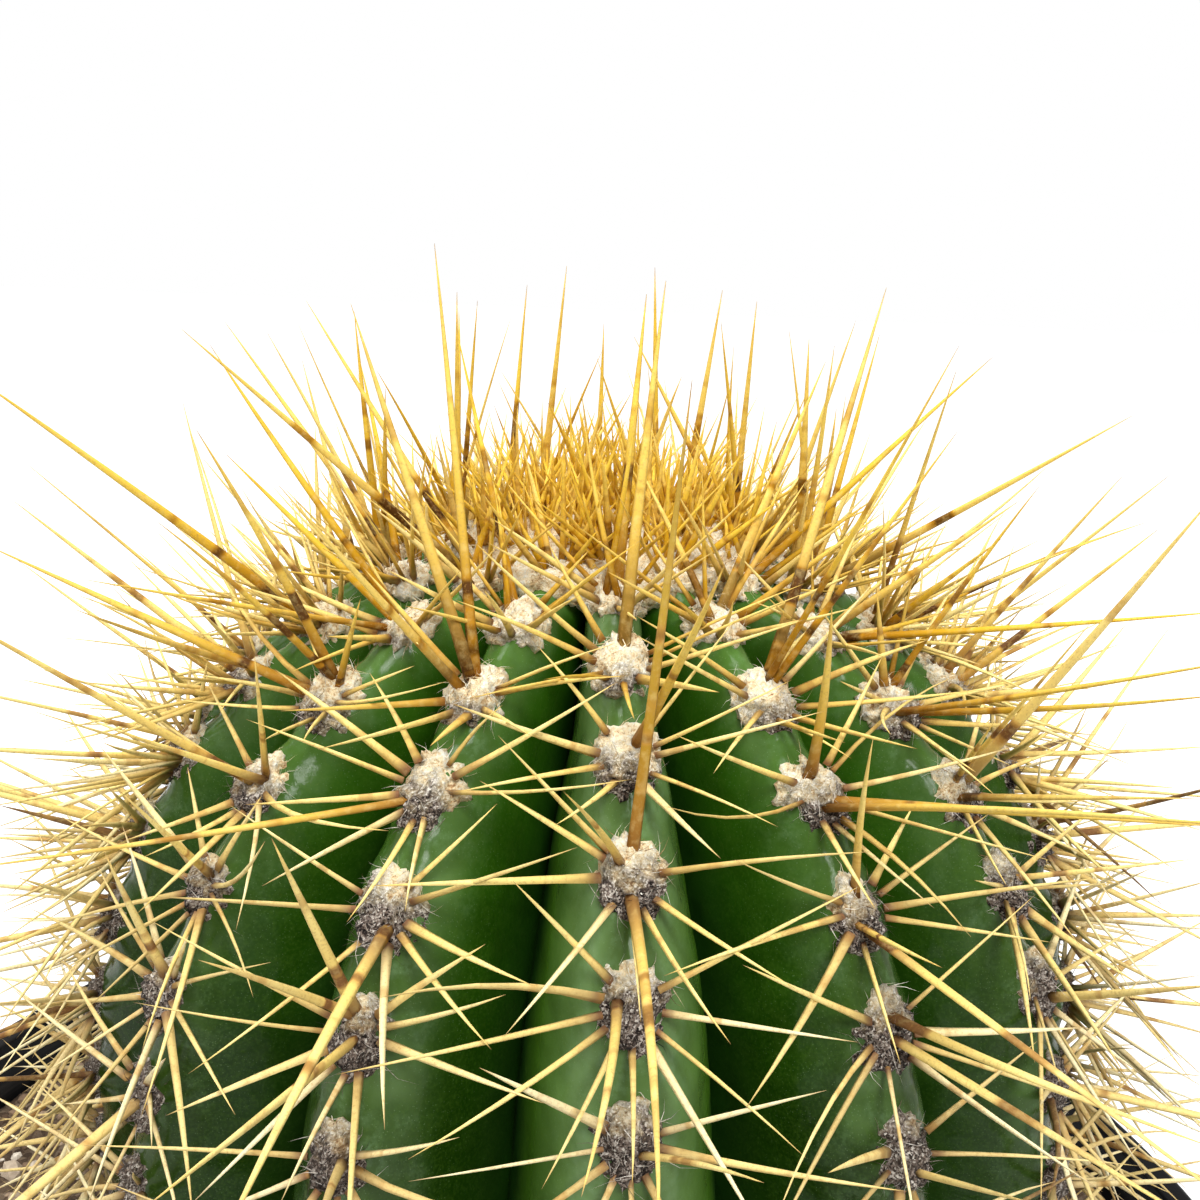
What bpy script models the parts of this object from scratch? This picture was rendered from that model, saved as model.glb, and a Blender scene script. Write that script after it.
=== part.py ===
"""Potted torch cactus: a stout ribbed stem with a woolly, spiny crown, in a round nursery pot.

Metres, +Z up. The origin is the centre of the pot's underside. The front of the plant faces -Y.
"""
import math
import random

import bmesh
import bpy
from mathutils import Vector
from mathutils.bvhtree import BVHTree

MM = 0.001
GAP = 0.3 * MM                      # clearance where two pieces touch

# --- pot -------------------------------------------------------------------------------------
POT_HEIGHT = 185 * MM
POT_RIM_RADIUS = 125 * MM           # outside of the rolled rim
POT_TOP_RADIUS = 120.5 * MM         # wall just under the rim band
POT_BASE_RADIUS = 94 * MM
POT_WALL = 1.6 * MM
POT_FLOOR = 2.2 * MM
FLOOR_ROUNDING = 3 * MM             # where the floor turns up into the wall
RIM_BAND = 15 * MM                  # height of the rim band
RIM_LIP = 1.6 * MM                  # radius of the lip's rounding
POT_STEPS = 56
DRAIN_HOLES = 8
DRAIN_RADIUS = 6 * MM
DRAIN_SIDES = 12
DRAIN_CIRCLE = 68 * MM              # radius of the circle that the holes stand on

# --- soil ------------------------------------------------------------------------------------
SOIL_DEPTH_BELOW_RIM = 12 * MM      # at the pot's wall
SOIL_MOUND = 3 * MM                 # extra height where the soil meets the stem
SOIL_FLAT_RADIUS = 60 * MM          # the mound is level inside this
SOIL_SLOPE_RADIUS = 95 * MM         # and has fallen to this share of its height here
SOIL_SLOPE_SHARE = 0.4
SOIL_STEPS = 56

# --- stem ------------------------------------------------------------------------------------
STEM_CENTRE = Vector((11 * MM, 13 * MM, 0))
RIBS = 14
RIB_PHASE = math.radians(4.6)       # the front rib stands a little to the right of -Y
CREST_RADIUS = 70.5 * MM            # across the rib crests where the dome meets the column
DOME_HEIGHT = 83 * MM
DOME_POWER = 2.3                    # 2 is an ellipse, higher is squarer shoulders
SHOULDER_Z = POT_HEIGHT + 37 * MM
COLUMN_TAPER = 2 * MM               # the column is this much narrower at soil level
COLUMN_DEPTH = SHOULDER_Z - POT_HEIGHT + SOIL_DEPTH_BELOW_RIM
BURIED = 32 * MM                    # how far the foot goes under the soil
FOOT_RADIUS = 40 * MM
GROOVE_COLUMN = 13 * MM             # groove depths, square to the crest
GROOVE_SHOULDER = 18.5 * MM
CROWN_SMOOTH = 5 * MM               # no groove nearer the crown's centre than this
CROWN_SLOPE = 0.75                  # how fast the grooves deepen from there
GROOVE_POWER = 2.0                  # a rounded crest between sharp grooves
SECTION_STEPS = 8                   # points from crest to crest
LEAST_RADIUS_SHARE = 0.2            # a groove never cuts deeper than this share of the radius
DOME_SHARES = (0.02, 0.05, 0.09, 0.15, 0.23, 0.33, 0.45, 0.58, 0.72, 0.86, 1.0)
COLUMN_SHARES = (0.5, 1.0)
FOOT_SHARES = (0.35, 0.7, 1.0)

# --- crown wool and spines -------------------------------------------------------------------
WOOL_RADIUS = 21 * MM
WOOL_HEIGHT = 5 * MM
WOOL_EDGE_DEPTH = 8 * MM            # the rounded top ends this far below the crown
WOOL_DEPTH = 14 * MM                # before the stem's shape is cut away
WOOL_ANGLES = (25, 50, 70, 90)
WOOL_STEPS = 28
AREOLE_STEP = 12.5 * MM             # along a crest
FIRST_AREOLE = 21.0 * MM            # arc from the crown's centre to an even rib's first areole
SPINE_RADIUS = 0.95 * MM
SPINE_TIP = 0.12 * MM
SPINE_SIDES = 6
BUTT_CLEARANCE = 0.4 * MM           # along the spine
CAST_HEIGHT = 20 * MM               # a butt is looked for from this far out
SPINE_LEVELS = ((0, 1, 3, 6), (0, 2, 4, 6))     # areoles with such a spine, even and odd ribs
# by areole level: lift towards the crown from square to the skin and sideways spread in degrees,
# and length in mm
SPINE_HABIT = {
    0: (20, 10, 36),
    1: (20, 16, 40),
    2: (10, 24, 42),
    3: (10, 26, 46),
    4: (-4, 26, 44),
    6: (-14, 26, 42),
}
LIFT_SPREAD = 10                    # degrees either way
LENGTH_SPREAD = 4                   # mm either way
# the front ribs' own long spines, set by hand in steps of five:
# (rib, level): (lift, sideways tilt, length in mm)
FRONT_SPINES = {
    (0, 0): (40, 5, 40),
    (0, 1): (45, 5, 45),
    (0, 3): (55, 5, 50),
    (1, 0): (40, 35, 40),
    (1, 2): (-30, 25, 40),
    (1, 4): (-10, -5, 40),
    (2, 0): (-20, 35, 45),
    (2, 1): (-20, 30, 30),
    (3, 2): (-10, 25, 40),
    (11, 0): (-15, -30, 45),
    (11, 2): (-10, -25, 40),
    (12, 0): (0, -40, 45),
    (12, 1): (-10, -30, 30),
    (13, 0): (45, -25, 40),
    (13, 2): (-45, -40, 45),
    (13, 4): (-5, 10, 40),
}


def clear_scene():
    for obj in list(bpy.data.objects):
        bpy.data.objects.remove(obj, do_unlink=True)


def make_collection(name):
    collection = bpy.data.collections.new(name)
    bpy.context.scene.collection.children.link(collection)
    return collection


def make_material(name, colour, roughness):
    material = bpy.data.materials.new(name)
    material.use_nodes = True
    shader = material.node_tree.nodes["Principled BSDF"]
    shader.inputs["Base Color"].default_value = (*colour, 1)
    shader.inputs["Roughness"].default_value = roughness
    return material


def add_object(name, mesh, collection, material=None):
    obj = bpy.data.objects.new(name, mesh)
    collection.objects.link(obj)
    if material:
        mesh.materials.append(material)
    return obj


def turned(name, outline, steps, collection, material=None):
    """A profile of (radius, z) points from axis to axis, turned about Z with a Screw modifier."""
    mesh = bpy.data.meshes.new(name)
    points = [(radius, 0, z) for radius, z in outline]
    mesh.from_pydata(points, [(i, i + 1) for i in range(len(points) - 1)], [])
    obj = add_object(name, mesh, collection, material)
    screw = obj.modifiers.new("turn", 'SCREW')
    screw.steps = screw.render_steps = steps
    screw.use_merge_vertices = True
    screw.merge_threshold = 0.00001
    screw.use_smooth_shade = False
    return obj


def cut(obj, cutter):
    """Takes the cutter's shape out of a piece."""
    cutter.hide_render = True
    cutter.display_type = 'WIRE'
    boolean = obj.modifiers.new("cut_" + cutter.name, 'BOOLEAN')
    boolean.operation = 'DIFFERENCE'
    boolean.solver = 'EXACT'
    boolean.object = cutter


def arc(centre_radius, centre_z, radius, start, end, steps):
    """Points of an arc in the profile's plane, angles in degrees."""
    angles = [math.radians(start + (end - start) * i / steps) for i in range(steps + 1)]
    return [(centre_radius + radius * math.cos(a), centre_z + radius * math.sin(a)) for a in angles]


# --- pot and soil ----------------------------------------------------------------------------
def pot_inner_radius(z):
    """Inside of the wall at a height."""
    low = POT_FLOOR + FLOOR_ROUNDING
    share = (z - low) / (POT_HEIGHT - RIM_BAND - low)
    return POT_BASE_RADIUS + (POT_TOP_RADIUS - POT_BASE_RADIUS) * min(share, 1) - POT_WALL


def make_pot(collection, cutters, material):
    rim_under = POT_HEIGHT - RIM_BAND
    lip = arc(POT_RIM_RADIUS - RIM_LIP, POT_HEIGHT - RIM_LIP, RIM_LIP, 90, 0, 3)
    inner_top = POT_TOP_RADIUS - POT_WALL
    outline = [(0, POT_FLOOR), (POT_BASE_RADIUS - POT_WALL - FLOOR_ROUNDING, POT_FLOOR)]
    outline += [(POT_BASE_RADIUS - POT_WALL, POT_FLOOR + FLOOR_ROUNDING)]
    outline += [(inner_top, rim_under), (inner_top + 0.6 * MM, POT_HEIGHT)]
    outline += lip
    outline += [(POT_RIM_RADIUS - 0.6 * MM, rim_under), (POT_TOP_RADIUS, rim_under - 1 * MM)]
    outline += [(POT_BASE_RADIUS, FLOOR_ROUNDING), (POT_BASE_RADIUS - FLOOR_ROUNDING, 0), (0, 0)]
    pot = turned("pot", outline, POT_STEPS, collection, material)
    for i in range(DRAIN_HOLES):
        angle = math.tau * (i + 0.5) / DRAIN_HOLES
        mesh = bpy.data.meshes.new("drain_cutter")
        shape = bmesh.new()
        bmesh.ops.create_cone(shape, cap_ends=True, segments=DRAIN_SIDES, radius1=DRAIN_RADIUS,
                              radius2=DRAIN_RADIUS, depth=4 * POT_FLOOR)
        shape.to_mesh(mesh)
        shape.free()
        cutter = add_object(f"drain_cutter_{i + 1}", mesh, cutters)
        cutter.location = (DRAIN_CIRCLE * math.cos(angle), DRAIN_CIRCLE * math.sin(angle), 0)
        cut(pot, cutter)


def make_soil(collection, socket, material):
    wall_z = POT_HEIGHT - SOIL_DEPTH_BELOW_RIM
    bottom = POT_FLOOR + GAP
    low = POT_FLOOR + FLOOR_ROUNDING
    inner = [(pot_inner_radius(z) - GAP, z) for z in (low, POT_HEIGHT - RIM_BAND, wall_z)]
    outline = [(0, wall_z + SOIL_MOUND), (SOIL_FLAT_RADIUS, wall_z + SOIL_MOUND)]
    outline += [(SOIL_SLOPE_RADIUS, wall_z + SOIL_MOUND * SOIL_SLOPE_SHARE)]
    outline += reversed(inner)
    outline += [(inner[0][0] - FLOOR_ROUNDING, bottom), (0, bottom)]
    soil = turned("soil", outline, SOIL_STEPS, collection, material)
    cut(soil, socket)


# --- stem ------------------------------------------------------------------------------------
def dome_point(share):
    """(radius, z) on a crest of the dome, from the crown's centre (0) to the shoulder (1)."""
    angle = share * math.pi / 2
    radius = CREST_RADIUS * math.sin(angle) ** (2 / DOME_POWER)
    return radius, SHOULDER_Z + DOME_HEIGHT * max(math.cos(angle), 0.0) ** (2 / DOME_POWER)


def column_point(depth):
    """(radius, z) on a crest of the column, at a depth below the shoulder."""
    return CREST_RADIUS - COLUMN_TAPER * (depth / COLUMN_DEPTH) ** 2, SHOULDER_Z - depth


def foot_point(share):
    """(radius, z) on a crest of the buried foot, from soil level (0) to its underside (1)."""
    top_radius, top_z = column_point(COLUMN_DEPTH)
    angle = share * math.pi / 2
    radius = FOOT_RADIUS + (top_radius - FOOT_RADIUS) * math.cos(angle)
    return radius, top_z - BURIED * math.sin(angle)


def crest_curve():
    """(radius, z, groove depth) along a crest, from the crown down to the foot."""
    rows = []
    for share in DOME_SHARES:
        radius, z = dome_point(share)
        groove = GROOVE_SHOULDER - (GROOVE_SHOULDER - GROOVE_COLUMN) * share ** 2
        rows.append((radius, z, min(groove, max(radius - CROWN_SMOOTH, 0) * CROWN_SLOPE)))
    for share in COLUMN_SHARES:
        rows.append((*column_point(COLUMN_DEPTH * share), GROOVE_COLUMN))
    for share in FOOT_SHARES:
        rows.append((*foot_point(share), GROOVE_COLUMN * (1 - 0.5 * share)))
    return rows


def stem_rings():
    """Closed rings of points from the crown to the foot."""
    rows = crest_curve()
    rings = []
    for i, (radius, z, groove) in enumerate(rows):
        above = rows[max(i - 1, 0)]
        below = rows[min(i + 1, len(rows) - 1)]
        along = Vector((below[0] - above[0], 0, below[1] - above[1])).normalized()
        out = Vector((-along.z, 0, along.x))
        ring = []
        for k in range(RIBS * SECTION_STEPS):
            turn = RIB_PHASE + math.tau * k / (RIBS * SECTION_STEPS)
            across = abs((k % SECTION_STEPS) / SECTION_STEPS * 2 - 1)
            share = (1 - across) ** GROOVE_POWER
            depth = groove * share
            point_radius = max(radius - out.x * depth, LEAST_RADIUS_SHARE * radius)
            point_z = z - out.z * depth
            ring.append((point_radius * math.sin(turn), -point_radius * math.cos(turn), point_z))
        rings.append(ring)
    return rings


def stem_mesh(name, grow=0.0):
    """Skin lofted through the rings, with a pole at the crown and at the foot, grown outwards."""
    rings = stem_rings()
    shape = bmesh.new()
    rows = [[shape.verts.new(point) for point in ring] for ring in rings]
    crown = shape.verts.new((0, 0, dome_point(0)[1]))
    foot = shape.verts.new((0, 0, foot_point(1)[1]))
    count = len(rows[0])
    for k in range(count):
        following = (k + 1) % count
        shape.faces.new((crown, rows[0][k], rows[0][following]))
        shape.faces.new((foot, rows[-1][following], rows[-1][k]))
        for upper, lower in zip(rows, rows[1:]):
            shape.faces.new((upper[k], lower[k], lower[following], upper[following]))
    bmesh.ops.recalc_face_normals(shape, faces=shape.faces)
    shape.normal_update()
    moves = [vertex.normal * grow * vertex.calc_shell_factor() for vertex in shape.verts]
    for vertex, move in zip(shape.verts, moves):
        vertex.co += move
    mesh = bpy.data.meshes.new(name)
    shape.to_mesh(mesh)
    shape.free()
    return mesh


def make_stem(collection, material):
    stem = add_object("stem", stem_mesh("stem"), collection, material)
    stem.location = STEM_CENTRE
    return stem


def make_socket(cutters):
    socket = add_object("stem_socket", stem_mesh("stem_socket", grow=GAP), cutters)
    socket.location = STEM_CENTRE
    return socket


# --- crown wool ------------------------------------------------------------------------------
def make_crown_wool(collection, cutter, material):
    """A felted pad lying on the crown; the stem's own shape, grown, is cut from its underside."""
    crown_z = dome_point(0)[1]
    edge_z = crown_z - WOOL_EDGE_DEPTH
    outline = [(0, crown_z + WOOL_HEIGHT)]
    for angle in (math.radians(degrees) for degrees in WOOL_ANGLES):
        outline.append((WOOL_RADIUS * math.sin(angle),
                        edge_z + (WOOL_HEIGHT + WOOL_EDGE_DEPTH) * math.cos(angle)))
    outline += [(WOOL_RADIUS, crown_z - WOOL_DEPTH), (0, crown_z - WOOL_DEPTH)]
    wool = turned("crown_wool", outline, WOOL_STEPS, collection, material)
    wool.location = STEM_CENTRE
    cut(wool, cutter)


# --- spines ----------------------------------------------------------------------------------
def crest_at(arc_length):
    """(radius, z) on a crest at an arc length from the crown's centre."""
    walked = 0.0
    previous = (0.0, dome_point(0)[1])
    steps = 400
    for i in range(1, steps + 1):
        point = dome_point(i / steps)
        walked += math.dist(point, previous)
        if walked >= arc_length:
            return point
        previous = point
    return column_point(arc_length - walked)


def areole_frame(rib, level):
    """Place on the crest and the outward, crownward and sideways directions of one areole."""
    turn = RIB_PHASE + math.tau * rib / RIBS
    arc_length = FIRST_AREOLE + AREOLE_STEP * (level + 0.5 * (rib % 2))
    step = 1 * MM
    here = crest_at(arc_length)
    above = crest_at(arc_length - step)
    below = crest_at(arc_length + step)
    radial = Vector((math.sin(turn), -math.cos(turn), 0))
    up = (radial * (above[0] - below[0]) + Vector((0, 0, above[1] - below[1]))).normalized()
    side = Vector((math.cos(turn), math.sin(turn), 0))
    out = side.cross(up).normalized()
    place = radial * here[0] + Vector((0, 0, here[1])) + STEM_CENTRE
    return place, out, up, side


def spine_direction(out, up, side, lift, tilt):
    lift = math.radians(lift)
    tilt = math.radians(tilt)
    return (out * math.cos(lift) + up * math.sin(lift)) * math.cos(tilt) + side * math.sin(tilt)


def butt_place(place, direction, skin):
    """Where a spine's butt stands so that its rim is just clear of the skin all round."""
    turn = direction.to_track_quat('Z', 'Y').to_matrix()
    start = place + direction * CAST_HEIGHT
    reach = []
    for i in range(SPINE_SIDES):
        angle = math.tau * i / SPINE_SIDES
        rim = turn @ Vector((SPINE_RADIUS * math.cos(angle), SPINE_RADIUS * math.sin(angle), 0))
        distance = skin.ray_cast(start + rim, -direction)[3]
        if distance:
            reach.append(distance)
    return start - direction * (min(reach) - BUTT_CLEARANCE)


def make_spine(name, place, direction, length, skin, collection, material):
    """A slender cone standing on the skin."""
    butt = butt_place(place, direction, skin)
    mesh = bpy.data.meshes.new(name)
    shape = bmesh.new()
    bmesh.ops.create_cone(shape, cap_ends=True, segments=SPINE_SIDES, radius1=SPINE_RADIUS,
                          radius2=SPINE_TIP, depth=length)
    bmesh.ops.translate(shape, verts=shape.verts, vec=(0, 0, length / 2))
    shape.to_mesh(mesh)
    shape.free()
    spine = add_object(name, mesh, collection, material)
    spine.location = butt
    spine.rotation_euler = direction.to_track_quat('Z', 'Y').to_euler()


def make_spines(stem, collection, material):
    skin = BVHTree.FromPolygons([vertex.co + STEM_CENTRE for vertex in stem.data.vertices],
                                [tuple(face.vertices) for face in stem.data.polygons])
    chance = random.Random(14)
    for rib in range(RIBS):
        for level in SPINE_LEVELS[rib % 2]:
            lift, spread, length = SPINE_HABIT[level]
            lift += chance.uniform(-LIFT_SPREAD, LIFT_SPREAD)
            tilt = chance.uniform(-spread, spread)
            length += chance.uniform(-LENGTH_SPREAD, LENGTH_SPREAD)
            if (rib, level) in FRONT_SPINES:
                lift, tilt, length = FRONT_SPINES[rib, level]
            place, out, up, side = areole_frame(rib, level)
            direction = spine_direction(out, up, side, lift, tilt)
            name = f"central_spine_rib{rib + 1:02d}_{level + 1}"
            make_spine(name, place, direction, length * MM, skin, collection, material)


def main():
    clear_scene()
    parts = make_collection("potted_torch_cactus")
    cutters = make_collection("cutters")
    plastic = make_material("pot_plastic", (0.012, 0.012, 0.013), 0.45)
    earth = make_material("soil", (0.09, 0.06, 0.04), 0.95)
    skin = make_material("stem_skin", (0.035, 0.16, 0.035), 0.4)
    wool = make_material("areole_wool", (0.52, 0.43, 0.31), 0.95)
    horn = make_material("spine_horn", (0.62, 0.36, 0.06), 0.4)

    stem = make_stem(parts, skin)
    socket = make_socket(cutters)
    make_pot(parts, cutters, plastic)
    make_soil(parts, socket, earth)
    make_crown_wool(parts, socket, wool)
    make_spines(stem, parts, horn)


main()
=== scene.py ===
"""Looks of a potted torch cactus: skin, wool, spines, soil and pot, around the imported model."""
import math
import random

import bmesh
import bpy
from mathutils import Matrix, Vector
from mathutils import noise as simplex
from mathutils.bvhtree import BVHTree


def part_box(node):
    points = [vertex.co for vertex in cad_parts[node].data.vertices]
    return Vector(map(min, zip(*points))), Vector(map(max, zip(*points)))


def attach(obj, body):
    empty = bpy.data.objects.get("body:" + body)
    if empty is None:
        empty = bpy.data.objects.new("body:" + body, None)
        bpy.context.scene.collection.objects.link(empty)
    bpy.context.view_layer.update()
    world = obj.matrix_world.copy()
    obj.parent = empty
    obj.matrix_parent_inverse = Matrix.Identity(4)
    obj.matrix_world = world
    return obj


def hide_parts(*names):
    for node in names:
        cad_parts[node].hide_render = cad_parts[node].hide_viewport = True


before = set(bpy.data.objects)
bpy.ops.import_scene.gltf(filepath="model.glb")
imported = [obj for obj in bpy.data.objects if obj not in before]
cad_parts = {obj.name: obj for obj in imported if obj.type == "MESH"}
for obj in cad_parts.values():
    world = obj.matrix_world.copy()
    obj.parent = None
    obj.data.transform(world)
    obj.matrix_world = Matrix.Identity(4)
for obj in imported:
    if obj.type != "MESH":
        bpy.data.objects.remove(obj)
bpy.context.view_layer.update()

MM = 0.001

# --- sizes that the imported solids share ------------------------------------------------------
POT_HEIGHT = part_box("pot")[1][2]
POT_RIM_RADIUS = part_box("pot")[1][0]
POT_TOP_RADIUS = POT_RIM_RADIUS - 4.5 * MM      # wall just under the rim band
POT_BASE_RADIUS = POT_RIM_RADIUS - 31 * MM
POT_WALL = 1.6 * MM
POT_FLOOR = 2.2 * MM
RIM_BAND = 15 * MM                              # height of the rim band
SOIL_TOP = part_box("soil")[1][2]
SOIL_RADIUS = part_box("soil")[1][0]
SOIL_EDGE_Z = POT_HEIGHT - 12 * MM              # where it meets the pot's wall

STEM_CENTRE = Vector((11 * MM, 13 * MM, 0))
RIBS = 14
RIB_PHASE = math.radians(4.6)                   # the front rib stands a little right of the front
CREST_RADIUS = 70.5 * MM                        # where the dome meets the column
DOME_HEIGHT = 83 * MM
DOME_POWER = 2.3                                # 2 is an ellipse, higher is squarer shoulders
SHOULDER_Z = POT_HEIGHT + 37 * MM
COLUMN_DEPTH = 49 * MM
COLUMN_TAPER = 2 * MM                           # the column is this much narrower at soil level
BURIED = 30 * MM                                # how far the foot goes under the soil
GROOVE_COLUMN = 13 * MM                         # groove depths, square to the crest
GROOVE_SHOULDER = 18.5 * MM
GROOVE_POWER = 2.0                              # a rounded crest between sharp grooves
CREASE_POWER = 9.0                              # of the narrow notch at a groove's bottom
LEAST_RADIUS_SHARE = 0.2                        # no groove cuts deeper than this share
CROWN_SMOOTH = 5 * MM                           # no groove nearer the crown's centre than this
CROWN_SLOPE = 0.75                              # how fast the grooves deepen from there

AREOLE_STEP = 12.5 * MM                         # along a crest
FIRST_AREOLE = 21 * MM                          # arc from the crown's centre, on an even rib
CROWN_ARCS = (6 * MM, 13 * MM)                  # the youngest areoles, above the first full one
CROWN_AREOLE_STEP = 7 * MM
CUSHION_WIDTH = 8.2 * MM
CUSHION_HEIGHT = 9.8 * MM
FRONT_RIBS = (0, 1, 2, 12, 13)


# --- building objects and node trees ---------------------------------------------------------
def add_object(name, data):
    made = bpy.data.objects.new(name, data)
    bpy.context.scene.collection.objects.link(made)
    return made


class Field:
    """A socket in a node tree; arithmetic on it adds Math nodes."""

    def __init__(self, tree, socket):
        self.tree = tree
        self.socket = socket

    def math(self, operation, *others):
        made = self.tree.nodes.new("ShaderNodeMath")
        made.operation = operation
        for value, socket in zip((self, *others), made.inputs):
            plug(self.tree, value, socket)
        return Field(self.tree, made.outputs[0])

    def __add__(self, other):
        return self.math('ADD', other)

    def __sub__(self, other):
        return self.math('SUBTRACT', other)

    def __rsub__(self, other):
        return self.math('MULTIPLY', -1).math('ADD', other)

    def __mul__(self, other):
        return self.math('MULTIPLY', other)

    def __truediv__(self, other):
        return self.math('DIVIDE', other)

    def __pow__(self, other):
        return self.math('POWER', other)

    def __rtruediv__(self, other):
        return self.math('POWER', -1) * other

    __radd__ = __add__
    __rmul__ = __mul__

    def clamp(self):
        made = self.tree.nodes.new("ShaderNodeClamp")
        plug(self.tree, self, made.inputs["Value"])
        return Field(self.tree, made.outputs[0])


def plug(tree, value, socket):
    """Puts a value, a Field or a socket into an input."""
    if isinstance(value, Field):
        value = value.socket
    if isinstance(value, bpy.types.NodeSocket):
        tree.links.new(value, socket)
    else:
        socket.default_value = value


def add(tree, kind, inputs=None, output=0, **settings):
    """Adds a node with its settings and inputs, and returns one output as a Field."""
    made = tree.nodes.new(kind)
    for name, value in settings.items():
        setattr(made, name, value)
    for key, value in (inputs or {}).items():
        plug(tree, value, made.inputs[key])
    return Field(tree, made.outputs[output])


def xyz(tree, x, y, z):
    return add(tree, "ShaderNodeCombineXYZ", {0: x, 1: y, 2: z})


def vector_math(tree, operation, *values, output=0):
    made = tree.nodes.new("ShaderNodeVectorMath")
    made.operation = operation
    for value, key in zip(values, (0, 1)):
        plug(tree, value, made.inputs[key])
    return Field(tree, made.outputs[output])


def scaled(tree, vector, factor):
    made = tree.nodes.new("ShaderNodeVectorMath")
    made.operation = 'SCALE'
    plug(tree, vector, made.inputs[0])
    plug(tree, factor, made.inputs["Scale"])
    return Field(tree, made.outputs[0])


def attribute(tree, name, kind='FLOAT'):
    return add(tree, "GeometryNodeInputNamedAttribute", {"Name": name}, data_type=kind)


def store(tree, geometry, name, value, kind='FLOAT', domain='POINT'):
    return add(tree, "GeometryNodeStoreNamedAttribute",
               {"Geometry": geometry, "Name": name, "Value": value}, data_type=kind, domain=domain)


def position(tree):
    return add(tree, "GeometryNodeInputPosition")


def parts(tree, vector):
    """The x, y and z of a vector."""
    apart = tree.nodes.new("ShaderNodeSeparateXYZ")
    plug(tree, vector, apart.inputs[0])
    return [Field(tree, socket) for socket in apart.outputs]


def reshape(tree, geometry, place):
    return add(tree, "GeometryNodeSetPosition", {"Geometry": geometry, "Position": place})


def offset(tree, geometry, move):
    return add(tree, "GeometryNodeSetPosition", {"Geometry": geometry, "Offset": move})


def push_out(tree, geometry, distance):
    """Moves a surface along its normals."""
    return offset(tree, geometry, scaled(tree, add(tree, "GeometryNodeInputNormal"), distance))


def other_object(tree, thing):
    """The geometry of an object that is an input of the tree."""
    return add(tree, "GeometryNodeObjectInfo", {"Object": thing}, output="Geometry")


def nearness(tree, geometry, element, reach):
    """1 on the nearest point or edge of some geometry, fading out over the reach."""
    gap = add(tree, "GeometryNodeProximity", {0: geometry}, output="Distance",
              target_element=element)
    return ((gap / reach) ** 2 * -1).math('EXPONENT')


def random_number(tree, low, high, seed):
    return add(tree, "FunctionNodeRandomValue", {2: low, 3: high, "Seed": seed}, output=1)


def random_vector(tree, low, high, seed):
    return add(tree, "FunctionNodeRandomValue", {0: low, 1: high, "Seed": seed},
               data_type='FLOAT_VECTOR')


def euler(tree, angles):
    return add(tree, "FunctionNodeEulerToRotation", {0: angles})


def noise(tree, place, scale):
    """Noise about zero, roughly -0.5 to 0.5."""
    middle = 0.5
    return add(tree, "ShaderNodeTexNoise", {"Vector": place, "Scale": scale}) - middle


SOCKETS = {float: 'NodeSocketFloat', int: 'NodeSocketInt', Vector: 'NodeSocketVector',
           bpy.types.Object: 'NodeSocketObject', bpy.types.Material: 'NodeSocketMaterial'}


class GeometryTree:
    """A Geometry Nodes tree with named inputs, run once on a host object."""

    def __init__(self, name, **values):
        self.name = name
        self.values = values
        self.tree = bpy.data.node_groups.new(name, 'GeometryNodeTree')
        face = self.tree.interface
        face.new_socket("Geometry", in_out='INPUT', socket_type='NodeSocketGeometry')
        face.new_socket("Geometry", in_out='OUTPUT', socket_type='NodeSocketGeometry')
        self.identifiers = {}
        for key, value in values.items():
            kind = next(SOCKETS[k] for k in SOCKETS if isinstance(value, k))
            self.identifiers[key] = face.new_socket(key, in_out='INPUT', socket_type=kind).identifier
        self.source = self.tree.nodes.new("NodeGroupInput")
        self.sink = self.tree.nodes.new("NodeGroupOutput")

    def __getitem__(self, key):
        return Field(self.tree, self.source.outputs[key])

    def finish(self, geometry, smooth=True):
        """Ends in Realize Instances and Set Material."""
        real = add(self.tree, "GeometryNodeRealizeInstances", {"Geometry": geometry})
        if smooth:
            real = add(self.tree, "GeometryNodeSetShadeSmooth", {"Geometry": real})
        done = add(self.tree, "GeometryNodeSetMaterial",
                   {"Geometry": real, "Material": self["material"]})
        self.tree.links.new(done.socket, self.sink.inputs[0])

    def run(self, name, host_mesh=None):
        """The evaluated result as a plain mesh object at the origin."""
        host = add_object(name + "_host", host_mesh or bpy.data.meshes.new(name + "_host"))
        modifier = host.modifiers.new(self.name, 'NODES')
        modifier.node_group = self.tree
        for key, value in self.values.items():
            modifier[self.identifiers[key]] = value
        graph = bpy.context.evaluated_depsgraph_get()
        made = bpy.data.meshes.new_from_object(host.evaluated_get(graph),
                                               preserve_all_data_layers=True, depsgraph=graph)
        bpy.data.objects.remove(host)
        made.name = name
        return add_object(name, made)


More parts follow.
